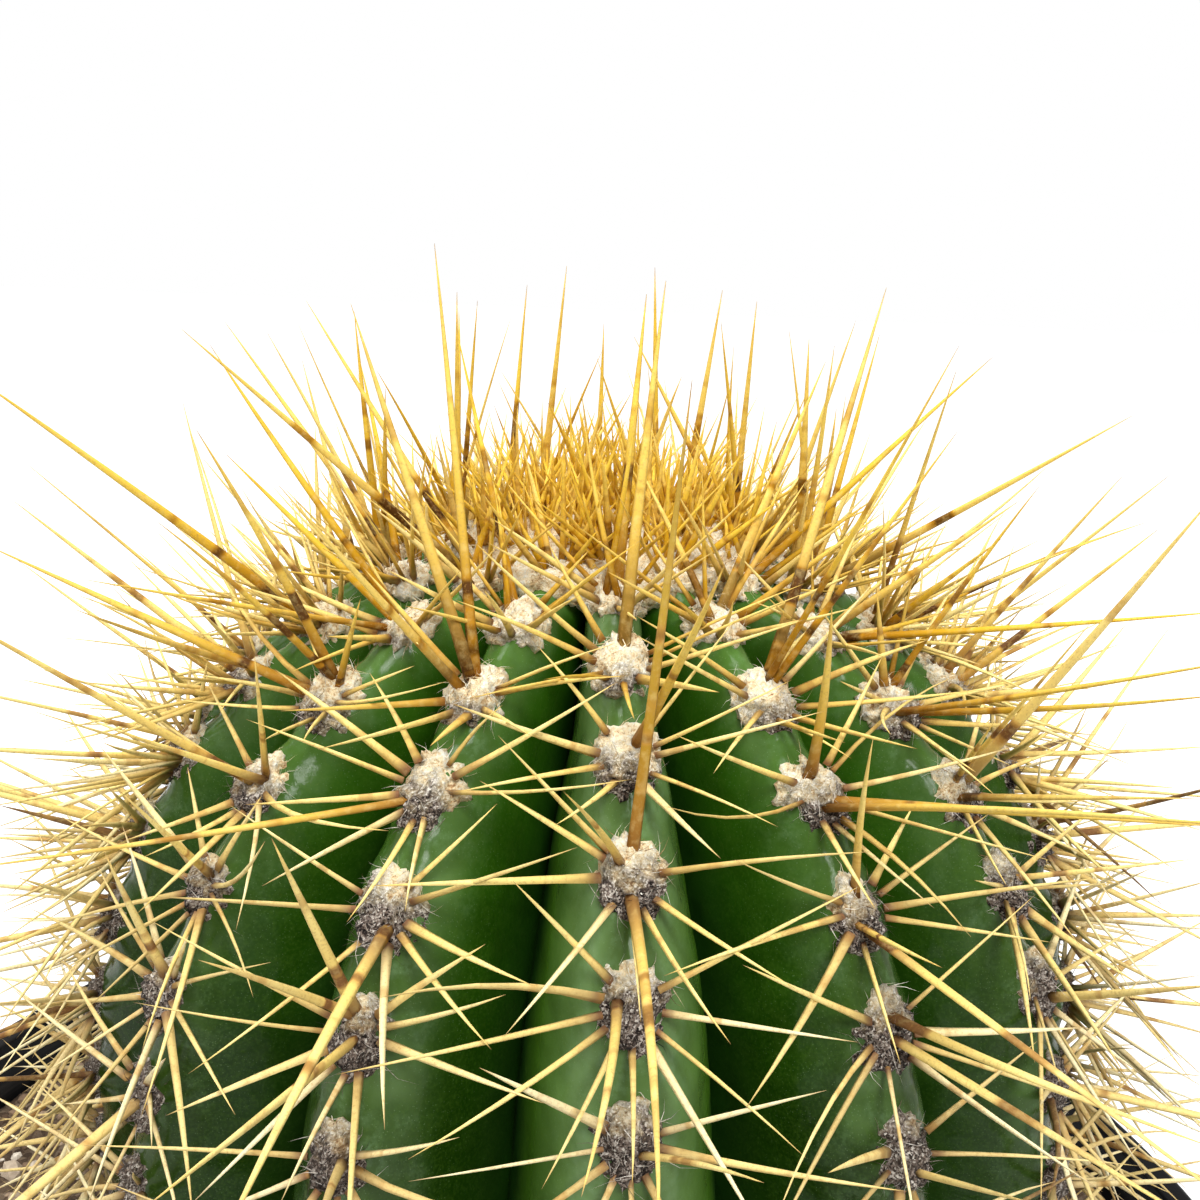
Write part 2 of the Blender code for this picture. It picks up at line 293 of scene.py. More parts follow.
class Surface:
    """A material's node tree around one Principled shader."""

    def __init__(self, name, **constants):
        self.material = bpy.data.materials.new(name)
        self.material.use_nodes = True
        self.tree = self.material.node_tree
        self.shader = self.tree.nodes["Principled BSDF"]
        for key, value in constants.items():
            self.shader.inputs[key.replace("_", " ")].default_value = value
        self.place = add(self.tree, "ShaderNodeTexCoord", output="Object")

    def read(self, name):
        """A number stored on the mesh."""
        return add(self.tree, "ShaderNodeAttribute", output="Fac", attribute_name=name)

    def noise(self, scale, detail=3.0, roughness=0.55, stretch=None):
        place = self.place
        if stretch:
            place = vector_math(self.tree, 'MULTIPLY', place, stretch)
        return add(self.tree, "ShaderNodeTexNoise",
                   {"Vector": place, "Scale": scale, "Detail": detail, "Roughness": roughness})

    def cells(self, scale, output="Distance"):
        return add(self.tree, "ShaderNodeTexVoronoi", {"Vector": self.place, "Scale": scale},
                   output=output)

    def cell_greys(self, scale, weights=(0.34, 0.33, 0.33)):
        """Grains, each of one random grey."""
        return vector_math(self.tree, 'DOT_PRODUCT', self.cells(scale, output="Color"), weights,
                           output="Value")

    def ramp(self, value, *stops):
        """A colour ramp; each stop is (position, colour)."""
        made = self.tree.nodes.new("ShaderNodeValToRGB")
        plug(self.tree, value, made.inputs[0])
        ramp = made.color_ramp
        while len(ramp.elements) < len(stops):
            ramp.elements.new(0.5)
        for element, (position, colour) in zip(ramp.elements, stops):
            element.position = position
            element.color = (*colour, 1)
        return Field(self.tree, made.outputs[0])

    def level(self, value, low, high, out_low=0.0, out_high=1.0):
        """A value brought from one range to another and held inside it."""
        return add(self.tree, "ShaderNodeMapRange", {0: value, 1: low, 2: high, 3: out_low, 4: out_high})

    def mix(self, factor, first, second):
        """A colour between two colours."""
        made = self.tree.nodes.new("ShaderNodeMix")
        made.data_type = 'RGBA'
        plug(self.tree, factor, made.inputs[0])
        for value, key in ((first, 6), (second, 7)):
            if isinstance(value, tuple):
                value = (*value, 1)
            plug(self.tree, value, made.inputs[key])
        return Field(self.tree, made.outputs[2])

    def bump(self, height, distance, strength=1.0, under=None):
        inputs = {"Height": height, "Distance": distance, "Strength": strength}
        if under:
            inputs["Normal"] = under
        return add(self.tree, "ShaderNodeBump", inputs)

    def set(self, **sockets):
        for key, value in sockets.items():
            plug(self.tree, value, self.shader.inputs[key.replace("_", " ")])
        return self.material


def ride(piece, slot_name, *nodes):
    """Fixes a finished piece to the body and hides the imported nodes that it stands for."""
    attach(piece, "root")
    if nodes:
        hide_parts(*nodes)
    return piece


# --- materials -------------------------------------------------------------------------------
# greens of the skin from a crest (0) to a groove's bottom (1), darker down the flanks: partly the skin's
# own deeper green and partly painted shade of the grooves
BARE_GREENS = ((0.0, (0.030, 0.060, 0.008)), (0.08, (0.014, 0.035, 0.0022)),
               (0.25, (0.008, 0.028, 0.0008)), (0.50, (0.006, 0.026, 0.0004)),
               (0.8, (0.006, 0.028, 0.0005)), (0.97, (0.004, 0.020, 0.0006)))
# pale waxy greens, partly the skin's wax and partly painted sheen, used all over the front rib; they
# also darken towards the groove as painted shade
WAX_AND_SHEEN_GREENS = ((0.0, (0.070, 0.132, 0.030)), (0.07, (0.132, 0.228, 0.078)),
               (0.20, (0.120, 0.222, 0.058)), (0.36, (0.100, 0.207, 0.038)),
               (0.54, (0.056, 0.145, 0.011)), (0.8, (0.006, 0.034, 0.001)))
YOUNG_GREENS = ((0.0, (0.085, 0.205, 0.030)), (0.3, (0.036, 0.135, 0.005)),
                (0.8, (0.010, 0.060, 0.001)))


def plain_green(skin, depth, bloom):
    """Bare green, fresher towards the crown, under the pale waxy green, which is partly painted sheen.
    """
    blotch = skin.noise(85, detail=2)
    dull = skin.mix(skin.read("fresh"), skin.ramp(depth, *BARE_GREENS),
                    skin.ramp(depth, *YOUNG_GREENS))
    # painted sheen: the front rib and patches near the crests turn to the pale waxy green
    patchy = bloom * skin.level(blotch, 0.34, 0.62, 0.70, 1.12)
    covered = patchy + skin.level(blotch, 0.54, 0.66) * skin.level(depth, 0.02, 0.22, 0.55, 0.0)
    return skin.mix(skin.level(covered, 0.0, 1.0), dull, skin.ramp(depth, *WAX_AND_SHEEN_GREENS))


def wax_sheen_and_specks(skin, green, depth, bloom, ripple):
    """A thin frosted film of wax near the crests, partly painted highlights, and small pale dots in the
    skin.
    """
    frost = skin.level(skin.noise(1300, detail=3, roughness=0.65), 0.38, 0.62, 0.3, 1.6)
    # painted highlights: pale patches of the wax film near the crests
    sheen_patches = skin.level(ripple, 0.48, 0.70, 0.02, 0.32) * frost \
        * skin.level(depth, 0.02, 0.34, 1.0, 0.0) * skin.level(bloom, 0.0, 0.5, 0.5, 1.0)
    with_sheen = skin.mix(sheen_patches, green, (0.20, 0.33, 0.17))
    # painted shade: the pale specks fade out down into the grooves
    specks = skin.level(skin.cells(2600), 0.0, 0.20, 0.5, 0.0) \
        * skin.level(depth, 0.1, 0.8, 1.0, 0.1)
    return skin.mix(specks, with_sheen, (0.22, 0.34, 0.16))


def skin_material():
    """Waxy green, dark down the flanks with painted shade in the grooves, with pale wax and painted
    sheen on the crests and fresher at the top.
    """
    skin = Surface("cactus_skin", Specular_IOR_Level=0.10)
    bloom = skin.read("bloom")
    broad = skin.noise(30, detail=3)
    ripple = skin.noise(240, detail=2)
    fine = skin.noise(500, detail=3, roughness=0.6)
    grain = skin.noise(2600, detail=2, roughness=0.6)
    depth = skin.level(skin.read("groove") + (broad - 0.5) * 0.10, 0.0, 1.0)
    green = plain_green(skin, depth, bloom)
    # painted shade: the paler mottle and grain fade out down into the grooves
    lit = skin.level(depth, 0.40, 0.90, 1.0, 0.15)
    mottled = skin.mix(skin.level(fine, 0.45, 0.72, 0.0, 0.14) * lit, green, (0.060, 0.120, 0.014))
    grainy = skin.mix(skin.level(grain, 0.45, 0.75, 0.0, 0.24) * lit, mottled,
                      (0.070, 0.145, 0.018))
    colour = wax_sheen_and_specks(skin, grainy, depth, bloom, ripple)
    rough = skin.level(broad + (fine - 0.5) * 0.3, 0.3, 0.7, 0.12, 0.22) \
        + skin.level(depth, 0.45, 0.75, 0.0, 0.45)
    relief = skin.bump(skin.noise(120, detail=1), 0.8 * MM, 0.7)
    relief = skin.bump(ripple, 0.3 * MM, 0.6, under=relief)
    relief = skin.bump(fine + grain * 0.4, 0.06 * MM, 0.6, under=relief)
    return skin.set(Base_Color=colour, Roughness=rough, Normal=relief)


# wool from its shadows to its highlights
CREAM_WOOL = ((0.36, (0.36, 0.20, 0.09)), (0.42, (0.74, 0.52, 0.27)),
              (0.49, (0.98, 0.84, 0.55)), (0.60, (1.0, 0.98, 0.85)))
GREY_WOOL = ((0.38, (0.011, 0.008, 0.007)), (0.46, (0.058, 0.041, 0.033)),
             (0.54, (0.24, 0.185, 0.15)), (0.66, (0.82, 0.76, 0.67)))


def wool_material(name="areole_wool", tinted=False):
    """Felted wool: cream where young, and dark and grainy on the lower half of old cushions, with
    painted shade in the dents round the spines.
    """
    wool = Surface(name, Specular_IOR_Level=0.05, Sheen_Weight=0.08, Sheen_Roughness=0.5)
    age = wool.read("age")
    felt = wool.noise(1500, detail=4, roughness=0.7)
    patch = wool.noise(420, detail=3)
    grain = wool.cell_greys(4800)
    soft = felt * 0.45 + patch * 0.40 + grain * 0.15
    tone = felt * 0.35 + patch * 0.25 + grain * 0.40
    if tinted:
        soft = soft * 0.5 + wool.read("tint") * 0.3 + 0.12
        tone = tone * 0.4 + wool.read("tint") * 0.4 + 0.12
    grey = wool.mix(wool.level(age, 0.55, 1.0, 0.0, 0.25), wool.ramp(tone, *GREY_WOOL),
                    (0.15, 0.115, 0.085))
    worn = wool.level(age, 0.0, 0.28, -0.48, -0.06) + wool.level(age, 0.28, 1.0, 0.0, 0.75)
    # greyer with age and towards the lower half of each cushion
    greyer_low_and_old = wool.level(wool.read("low") * 0.95 + worn + (patch - 0.5) * 1.2, 0.28, 0.72)
    felted = wool.mix(greyer_low_and_old, wool.ramp(soft, *CREAM_WOOL), grey)
    # painted shade in the dents round each spine's foot
    dark = wool.level(wool.read("dent"), 0.25, 0.95, 0.0, 0.85)
    colour = wool.mix(dark, felted, (0.020, 0.011, 0.008))
    relief = wool.bump(patch, 1.0 * MM, 0.8)
    relief = wool.bump(felt + grain * 0.4, 0.5 * MM, 1.0, under=relief)
    return wool.set(Base_Color=colour, Roughness=wool.level(felt, 0, 1, 0.85, 1.0), Normal=relief)


# horn from a spine's foot (0) to its point (1)
YOUNG_HORN = ((0.0, (0.50, 0.24, 0.008)), (0.30, (0.64, 0.36, 0.014)),
              (0.65, (0.88, 0.60, 0.065)), (0.94, (0.80, 0.49, 0.045)), (1.0, (0.24, 0.10, 0.02)))
STRAW_HORN = ((0.0, (0.68, 0.47, 0.15)), (0.25, (0.90, 0.68, 0.21)),
              (0.70, (0.98, 0.80, 0.31)), (0.95, (0.84, 0.60, 0.18)), (1.0, (0.24, 0.12, 0.05)))
TAN_HORN = ((0.0, (0.56, 0.38, 0.17)), (0.25, (0.78, 0.58, 0.24)),
            (0.70, (0.88, 0.70, 0.31)), (0.95, (0.74, 0.54, 0.22)), (1.0, (0.26, 0.15, 0.07)))
BLEACHED_HORN = ((0.0, (0.76, 0.59, 0.31)), (0.2, (0.92, 0.80, 0.48)),
                 (0.8, (0.96, 0.88, 0.60)), (1.0, (0.45, 0.28, 0.13)))
WITHERED = (0.20, 0.11, 0.045)


def horn_colour(horn, along, tint, age, central, fade):
    """Golden when young, fading to straw or tan and then bleached; a few spines wither brown."""
    pale = horn.mix(horn.level(age - central * 0.2, 0.45, 0.95), horn.ramp(along, *STRAW_HORN),
                    horn.ramp(along, *TAN_HORN))
    dull = horn.mix(horn.level(tint, 0.30, 0.0, 0.0, 0.8), pale, (0.50, 0.37, 0.16))
    old = horn.mix(horn.level(tint + age * 0.5 - central * 0.35, 0.95, 1.4), dull,
                   horn.ramp(along, *BLEACHED_HORN))
    golden = horn.mix(horn.level(tint, 0.50, 0.90, 0.0, 0.38), horn.ramp(along, *YOUNG_HORN),
                      (0.95, 0.72, 0.24))
    return horn.mix(fade, golden, horn.mix(horn.level(tint, 0.05, 0.02), old, WITHERED))


def darker_foot(horn, body, along, tint, central, fade):
    """A brown foot, longer on the young central spines and nearly black on some."""
    amber = horn.mix(horn.level(tint, 0.66, 0.80), (0.29, 0.115, 0.007), (0.070, 0.024, 0.004))
    brown = horn.mix(fade, amber, (0.30, 0.155, 0.080))
    foot = horn.level(along, 0.015, central * (0.28 - fade * 0.18) + 0.075, 1.0, 0.0)
    return horn.mix(foot, body, brown)


def brown_bands(horn, body, along, tint, central, fade):
    """Scorched bands at random heights, with a warmer edge, strongest on central spines."""
    wave = add(horn.tree, "ShaderNodeTexNoise", {
        "Vector": xyz(horn.tree, along * 7 + tint * 11, tint * 31, central * 3), "Scale": 1.0,
        "Detail": 2.0})
    band = horn.level(wave, 0.54, 0.63) * horn.level(along, 0.30, 0.80, 1.0, 0.1) \
        * horn.level(central, 0.0, 1.0, 0.3, 1.0)
    singed = horn.mix(fade, (0.50, 0.235, 0.012), (0.56, 0.33, 0.10))
    scorched = horn.mix(fade, (0.085, 0.032, 0.005), (0.24, 0.115, 0.045))
    warmed = horn.mix(horn.level(band, 0.0, 0.45), body, singed)
    return horn.mix(horn.level(band, 0.35, 0.85), warmed, scorched)


def spine_material():
    """Horn: amber with a dark foot when young, straw to cream when old, some banded brown."""
    horn = Surface("spine_horn", Specular_IOR_Level=0.06)
    along = horn.read("along")
    tint = horn.read("tint")
    age = horn.read("age")
    central = horn.read("central")
    streak = horn.noise(900, detail=3)
    mood = (tint - 0.5) * (0.5 - central * 0.4)
    fade = horn.level(age * 1.1 + mood - central * 0.4 + along * 0.15, -0.20, 0.40)
    body = horn_colour(horn, along, tint, age, central, fade)
    footed = darker_foot(horn, body, along, tint, central, fade)
    banded = brown_bands(horn, footed, along, tint, central, fade)
    fleck = horn.level(horn.noise(3000, detail=2), 0.52, 0.72, 0.0, 0.45)
    flecked = horn.mix(fleck, banded, (0.46, 0.27, 0.075))
    streaked = horn.mix(horn.level(streak, 0.5, 0.75, 0.0, 0.25), flecked, (0.98, 0.82, 0.36))
    return horn.set(Base_Color=streaked, Roughness=horn.level(streak, 0.3, 0.7, 0.34, 0.5),
                    Normal=horn.bump(streak, 0.08 * MM, 0.5))


def soil_material():
    """Peaty brown with paler and darker grains."""
    soil = Surface("potting_mix", Specular_IOR_Level=0.2)
    broad = soil.noise(70, detail=4)
    grains = soil.ramp(soil.cell_greys(900, (0.33, 0.33, 0.33)), (0.2, (0.035, 0.022, 0.014)),
                       (0.5, (0.10, 0.065, 0.04)), (0.8, (0.24, 0.18, 0.12)))
    colour = soil.mix(soil.level(broad, 0.35, 0.7, 0.0, 0.6), grains, (0.055, 0.035, 0.022))
    relief = soil.bump(soil.noise(600, detail=4, roughness=0.7), 1.2 * MM, 1.0)
    return soil.set(Base_Color=colour, Roughness=soil.level(broad, 0, 1, 0.85, 1.0), Normal=relief)


def grit_material():
    """Crumbs from dark peat to pale pumice, by each one's tint."""
    grit = Surface("soil_grit", Specular_IOR_Level=0.25)
    streak = grit.noise(500, detail=4, roughness=0.7)
    clean = grit.ramp(grit.read("tint"), (0.0, (0.05, 0.030, 0.018)), (0.3, (0.14, 0.085, 0.050)),
                      (0.55, (0.30, 0.20, 0.125)), (0.8, (0.50, 0.38, 0.26)),
                      (0.97, (0.76, 0.68, 0.56)))
    colour = grit.mix(grit.level(streak, 0.35, 0.7, 0.0, 0.5), clean, (0.10, 0.07, 0.05))
    relief = grit.bump(streak, 0.6 * MM, 0.8)
    return grit.set(Base_Color=colour, Roughness=grit.level(streak, 0, 1, 0.75, 1.0), Normal=relief)


def pot_material():
    """Black plastic with a little dust and some scuffs round it."""
    pot = Surface("black_pot_plastic", Specular_IOR_Level=0.07)
    dust = pot.noise(45, detail=5, roughness=0.6)
    scuff = pot.noise(26, detail=4, stretch=(1, 1, 9))
    black = pot.ramp(dust, (0.35, (0.003, 0.003, 0.0032)), (0.75, (0.010, 0.010, 0.0105)))
    dusty = pot.mix(pot.level(scuff, 0.58, 0.75, 0.0, 0.15), black, (0.12, 0.105, 0.09))
    rough = pot.level(dust + (scuff - 0.5) * 0.4, 0.3, 0.75, 0.32, 0.58)
    relief = pot.bump(pot.noise(1600, detail=2), 0.08 * MM, 0.5)
    return pot.set(Base_Color=dusty, Roughness=rough, Normal=relief)


# --- the stem's rule -------------------------------------------------------------------------
def dome_point(share):
    """(radius, z) on a rib's crest, from the crown's centre (0) to the shoulder (1)."""
    angle = share * math.pi / 2
    radius = CREST_RADIUS * math.sin(angle) ** (2 / DOME_POWER)
    return radius, SHOULDER_Z + DOME_HEIGHT * max(math.cos(angle), 0.0) ** (2 / DOME_POWER)


def crest_at(arc_length):
    """(radius, z) on a crest at an arc length from the crown's centre."""
    steps = 300
    walked = 0.0
    previous = (0.0, dome_point(0)[1])
    for i in range(1, steps + 1):
        point = dome_point(i / steps)
        walked += math.dist(point, previous)
        if walked >= arc_length:
            return point
        previous = point
    depth = arc_length - walked
    return CREST_RADIUS - COLUMN_TAPER * (depth / COLUMN_DEPTH) ** 2, SHOULDER_Z - depth


class Areole:
    """One woolly cushion on a rib, with its directions, size and age (0 newest, 1 oldest).

    Its level counts down the rib: 0 is the first full cushion, and the crown's own are below 0.
    """

    NEW = 25 * MM               # arc lengths at which the cushions begin and end ageing
    OLD = 105 * MM

    def __init__(self, rib, level, arc_length, size):
        turn = RIB_PHASE + math.tau * rib / RIBS
        step = 1 * MM
        here = crest_at(arc_length)
        above = crest_at(arc_length - step)
        below = crest_at(arc_length + step)
        radial = Vector((math.sin(turn), -math.cos(turn), 0))
        self.rib = rib
        self.level = level
        self.size = size
        self.age = min(max((arc_length - self.NEW) / (self.OLD - self.NEW), 0), 1)
        self.place = radial * here[0] + Vector((0, 0, here[1])) + STEM_CENTRE
        self.up = (radial * (above[0] - below[0]) + Vector((0, 0, above[1] - below[1]))).normalized()
        self.side = Vector((math.cos(turn), math.sin(turn), 0))
        self.out = self.side.cross(self.up).normalized()

    def aim(self, lift, tilt):
        """A direction lifted towards the crown and tilted sideways from square, in degrees."""
        lift = math.radians(lift)
        tilt = math.radians(tilt)
        return (self.out * math.cos(lift) + self.up * math.sin(lift)) * math.cos(tilt) \
            + self.side * math.sin(tilt)

    def around(self, angle, rise):
        """A direction at a clock angle from the crown's side, rising off the skin, in degrees."""
        angle = math.radians(angle)
        rise = math.radians(rise)
        return (self.up * math.cos(angle) + self.side * math.sin(angle)) * math.cos(rise) \
            + self.out * math.sin(rise)

    def edge(self, angle, reach):
        """A point on the cushion at a clock angle; reach 1 is its edge."""
        angle = math.radians(angle)
        return self.place + (self.up * math.cos(angle) * CUSHION_HEIGHT / 2
                             + self.side * math.sin(angle) * CUSHION_WIDTH / 2) * reach * self.size

    def rotation(self):
        """The cushion's rotation: its own x is sideways, y towards the crown and z outwards."""
        return Vector(Matrix((self.side, self.up, self.out)).transposed().to_euler())


def make_areoles():
    """All areoles, rib by rib; odd ribs are half a step behind the even ones."""
    crown_size, first_size, shrinking = 0.62, 0.90, 0.12
    lowest = SOIL_TOP + 4 * MM
    areoles = []
    rng = random.Random(3)
    for rib in range(RIBS):
        shift = 0.5 * (rib % 2)
        for order, arc_length in enumerate(CROWN_ARCS):
            areoles.append(Areole(rib, order - len(CROWN_ARCS),
                                  arc_length + shift * CROWN_AREOLE_STEP, crown_size))
        level = 0
        arc_length = FIRST_AREOLE + AREOLE_STEP * shift
        while crest_at(arc_length)[1] >= lowest:
            areole = Areole(rib, level, arc_length, first_size if level == 0 else 1.0)
            areole.size *= (1 - shrinking * areole.age) * rng.uniform(0.93, 1.06)
            areoles.append(areole)
            level += 1
            arc_length = FIRST_AREOLE + AREOLE_STEP * (level + shift)
    return areoles


def seat_on(areoles, skin):
    """Moves each areole onto the finished skin, found from a little way outside it."""
    outside = 15 * MM
    for areole in areoles:
        hit = skin.ray_cast(areole.place + areole.out * outside, -areole.out)[0]
        if hit:
            areole.place = hit


def surface_of(piece):
    """A piece's faces, for finding where a line meets it."""
    return BVHTree.FromPolygons([v.co for v in piece.data.vertices],
                                [tuple(p.vertices) for p in piece.data.polygons])


def point_mesh(name, places, **columns):
    """A mesh of loose points with a named number or vector on each."""
    mesh = bpy.data.meshes.new(name)
    mesh.from_pydata([tuple(p) for p in places], [], [])
    for key, values in columns.items():
        kind = 'FLOAT_VECTOR' if isinstance(values[0], Vector) else 'FLOAT'
        layer = mesh.attributes.new(key, kind, 'POINT')
        if kind == 'FLOAT':
            layer.data.foreach_set("value", values)
        else:
            layer.data.foreach_set("vector", [number for vector in values for number in vector])
    return mesh


# --- stem skin -------------------------------------------------------------------------------
def crest_profile(g, down_share):
    """Down a crest: its radius, height and outward direction, and how far along the dome it is."""
    dome_end = 0.70             # shares of the way down where the dome and the column end
    column_end = 0.95
    foot_roundness = 0.6
    quarter = math.pi / 2
    dome = (down_share / dome_end).clamp()
    column = ((down_share - dome_end) / (column_end - dome_end)).clamp()
    foot = ((down_share - column_end) / (1 - column_end)).clamp() * quarter
    power = 2 / g["dome_power"]
    crest = (dome * quarter).math('SINE').math('MAXIMUM', 0.0) ** power
    height = (dome * quarter).math('COSINE').math('MAXIMUM', 0.0) ** power
    foot_share = foot.math('COSINE').math('MAXIMUM', 0.0) ** foot_roundness
    radius = (crest * g["crest_radius"] - column * column * g["taper"]) * foot_share
    z = g["shoulder"] + height * g["dome_height"] - column * g["column_depth"] \
        - foot.math('SINE') * g["buried"]
    out_r = crest ** (g["dome_power"] - 1) / g["crest_radius"]
    out_z = height ** (g["dome_power"] - 1) / g["dome_height"]
    length = (out_r * out_r + out_z * out_z).math('SQRT')
    return radius, z, out_r / length, out_z / length, dome


def groove_cut(g, round_share, radius, dome):
    """From crest to crest: 0 on the crest to 1 at the groove's bottom, and the depth there."""
    across = ((round_share * g["ribs"]).math('FRACT') * 2 - 1).math('ABSOLUTE')
    groove = (1 - across) ** GROOVE_POWER
    wanted = g["groove_shoulder"] - (g["groove_shoulder"] - g["groove_column"]) * dome * dome
    limit = ((radius - g["crown_smooth"]) * g["crown_slope"]).math('MAXIMUM', 0.0)
    notch = (1 - across) ** CREASE_POWER * g["notch"] * (limit / g["notch"]).clamp()
    return groove, wanted.math('MINIMUM', limit) * groove + notch


def sheen_and_bloom_share(g, round_share, groove):
    """Pale wax and painted sheen: all over the front rib, on its neighbour's crest and a trace
    elsewhere.
    """
    faintest, faint, beside = 0.0, 0.08, 0.36
    rib = (round_share * g["ribs"] + 0.5).math('FLOOR').math('MODULO', g["ribs"])
    patchy = add(g.tree, "FunctionNodeRandomValue", {2: faintest, 3: faint, "ID": rib, "Seed": 4},
                 output=1)
    valley = (round_share * g["ribs"]).math('FLOOR').math('MODULO', g["ribs"])
    last_valley = valley.math('GREATER_THAN', g["ribs"] - 1.5)
    shared = last_valley * (1 - groove * 3).clamp() * beside
    return rib.math('LESS_THAN', 0.5).math('MAXIMUM', patchy).math('MAXIMUM', shared)


def ribbed_stem(marks, material):
    """The ribbed body's tree with its sizes as inputs, which make_skin then fills."""
    columns_per_rib, rows = 20, 141
    return GeometryTree(
        "ribbed_stem", ribs=float(RIBS), phase=RIB_PHASE, crest_radius=CREST_RADIUS,
        dome_height=DOME_HEIGHT, dome_power=DOME_POWER, shoulder=SHOULDER_Z,
        column_depth=COLUMN_DEPTH, taper=COLUMN_TAPER, buried=BURIED,
        groove_column=GROOVE_COLUMN, groove_shoulder=GROOVE_SHOULDER, crown_smooth=CROWN_SMOOTH,
        crown_slope=CROWN_SLOPE, centre=STEM_CENTRE, notch=1.5 * MM, cushion=1.6 * MM,
        cushion_reach=6.5 * MM, unevenness=1.0 * MM, around=RIBS * columns_per_rib + 1, rows=rows,
        marks=marks, material=material)


def make_skin(areoles, material):
    """The ribbed body: a grid bent round the axis by the crest's rule and cut by the grooves."""
    crease = 0.98                       # groove share beyond which an edge is sharp
    seam = 0.01 * MM
    marks = add_object("areole_marks", point_mesh("areole_marks", [a.place for a in areoles]))
    g = ribbed_stem(marks, material)
    tree = g.tree
    grid = add(tree, "GeometryNodeMeshGrid", {"Size X": 1.0, "Size Y": 1.0,
                                              "Vertices X": g["around"], "Vertices Y": g["rows"]})
    grid_x, grid_y, _ = parts(tree, position(tree))
    round_share = grid_x + 0.5
    radius, z, out_r, out_z, dome = crest_profile(g, grid_y + 0.5)
    groove, depth = groove_cut(g, round_share, radius, dome)
    ring = (radius - out_r * depth).math('MAXIMUM', radius * LEAST_RADIUS_SHARE)
    turn = round_share * math.tau + g["phase"]
    shaped = xyz(tree, ring * turn.math('SINE'), ring * turn.math('COSINE') * -1, z - out_z * depth)

    marked = store(tree, grid, "groove", groove)
    marked = store(tree, marked, "bloom", sheen_and_bloom_share(g, round_share, groove))
    marked = store(tree, marked, "fresh", (1.15 - dome * 1.5).clamp())
    bent = reshape(tree, marked, shaped)
    closed = add(tree, "GeometryNodeMergeByDistance", {"Geometry": bent, "Distance": seam})
    closed = add(tree, "GeometryNodeFlipFaces", {0: closed})
    moved = offset(tree, closed, g["centre"])

    here = position(tree)
    swell = nearness(tree, other_object(tree, g["marks"]), 'POINTS', g["cushion_reach"])
    swings, dimples = noise(tree, here, 55.0), noise(tree, here, 240.0)
    uneven = (swings * 1.5 + dimples * 0.35) * g["unevenness"]
    swollen = push_out(tree, moved, swell * g["cushion"] + uneven)
    creased = attribute(tree, "groove").math('GREATER_THAN', crease)
    g.finish(store(tree, swollen, "sharp_edge", creased, kind='BOOLEAN', domain='EDGE'))
    skin = g.run("stem_skin")
    bpy.data.objects.remove(marks)
    return skin


# --- wool ------------------------------------------------------------------------------------
def lump_up(tree, geometry, coarse, fine):
    """Pushes a woolly surface in and out along its normals in curds about 1 mm across."""
    irregular, mean_gap = 1.2 * MM, 0.45
    here = position(tree)
    wobble = add(tree, "ShaderNodeTexNoise", {"Vector": here, "Scale": 500.0}, output="Color")
    place = vector_math(tree, 'ADD', here, scaled(tree, wobble, irregular))
    curd = add(tree, "ShaderNodeTexVoronoi", {"Vector": place, "Scale": 850.0})
    return push_out(tree, geometry, noise(tree, here, 330.0) * coarse + (mean_gap - curd) * fine)


def spine_feet(spines):
    """A line along the foot of each spine, where it stands in the wool."""
    in_wool = 5 * MM
    mesh = bpy.data.meshes.new("spine_feet")
    ends = [p for s in spines for p in (s.base, s.base + s.aim * in_wool)]
    mesh.from_pydata([tuple(p) for p in ends], [(i, i + 1) for i in range(0, len(ends), 2)], [])
    return add_object("spine_feet", mesh)


def dent(tree, geometry, feet, reach, depth):
    """Sinks the wool round each spine and keeps how much in "dent"."""
    share = nearness(tree, other_object(tree, feet), 'EDGES', reach)
    kept = store(tree, geometry, "dent", share)
    return push_out(tree, kept, attribute(tree, "dent") * depth * -1)


def make_cushions(name, areoles, feet, material):
    """The areoles' wool: a squat ball on each, lumped all over and dented round the spines."""
    points = point_mesh(name, [a.place for a in areoles], turn=[a.rotation() for a in areoles],
                        size=[a.size for a in areoles], age=[a.age for a in areoles])
    g = GeometryTree("woolly_cushions", width=CUSHION_WIDTH, height=CUSHION_HEIGHT,
                     thickness=2.4 * MM, sunk=0.8 * MM, droop=1.2 * MM, curds=1.5 * MM,
                     swelling=3.2 * MM, feet=feet, dent_reach=0.6 * MM, dent_depth=0.6 * MM,
                     material=material)
    tree = g.tree
    ball = add(tree, "GeometryNodeMeshIcoSphere", {"Radius": 1.0, "Subdivisions": 2})
    x, y, z = parts(tree, position(tree))
    ball = store(tree, ball, "low", 0.5 - y * 0.5)
    ball = store(tree, ball, "top", z)
    shaped = reshape(tree, ball, xyz(tree, x * g["width"] * 0.5, y * g["height"] * 0.5,
                                     z * g["thickness"] - g["sunk"] - x * x * g["droop"]))
    turned = euler(tree, attribute(tree, "turn", 'FLOAT_VECTOR'))
    size = attribute(tree, "size")
    placed = add(tree, "GeometryNodeInstanceOnPoints",
                 {"Points": g["Geometry"], "Instance": shaped, "Rotation": turned,
                  "Scale": xyz(tree, size, size, size ** 0.5)})
    real = add(tree, "GeometryNodeRealizeInstances", {"Geometry": placed})
    fine = add(tree, "GeometryNodeSubdivideMesh", {"Mesh": real, "Level": 2})
    lumpy = lump_up(tree, fine, g["swelling"], g["curds"])
    g.finish(dent(tree, lumpy, g["feet"], g["dent_reach"], g["dent_depth"]))
    return g.run(name, points)


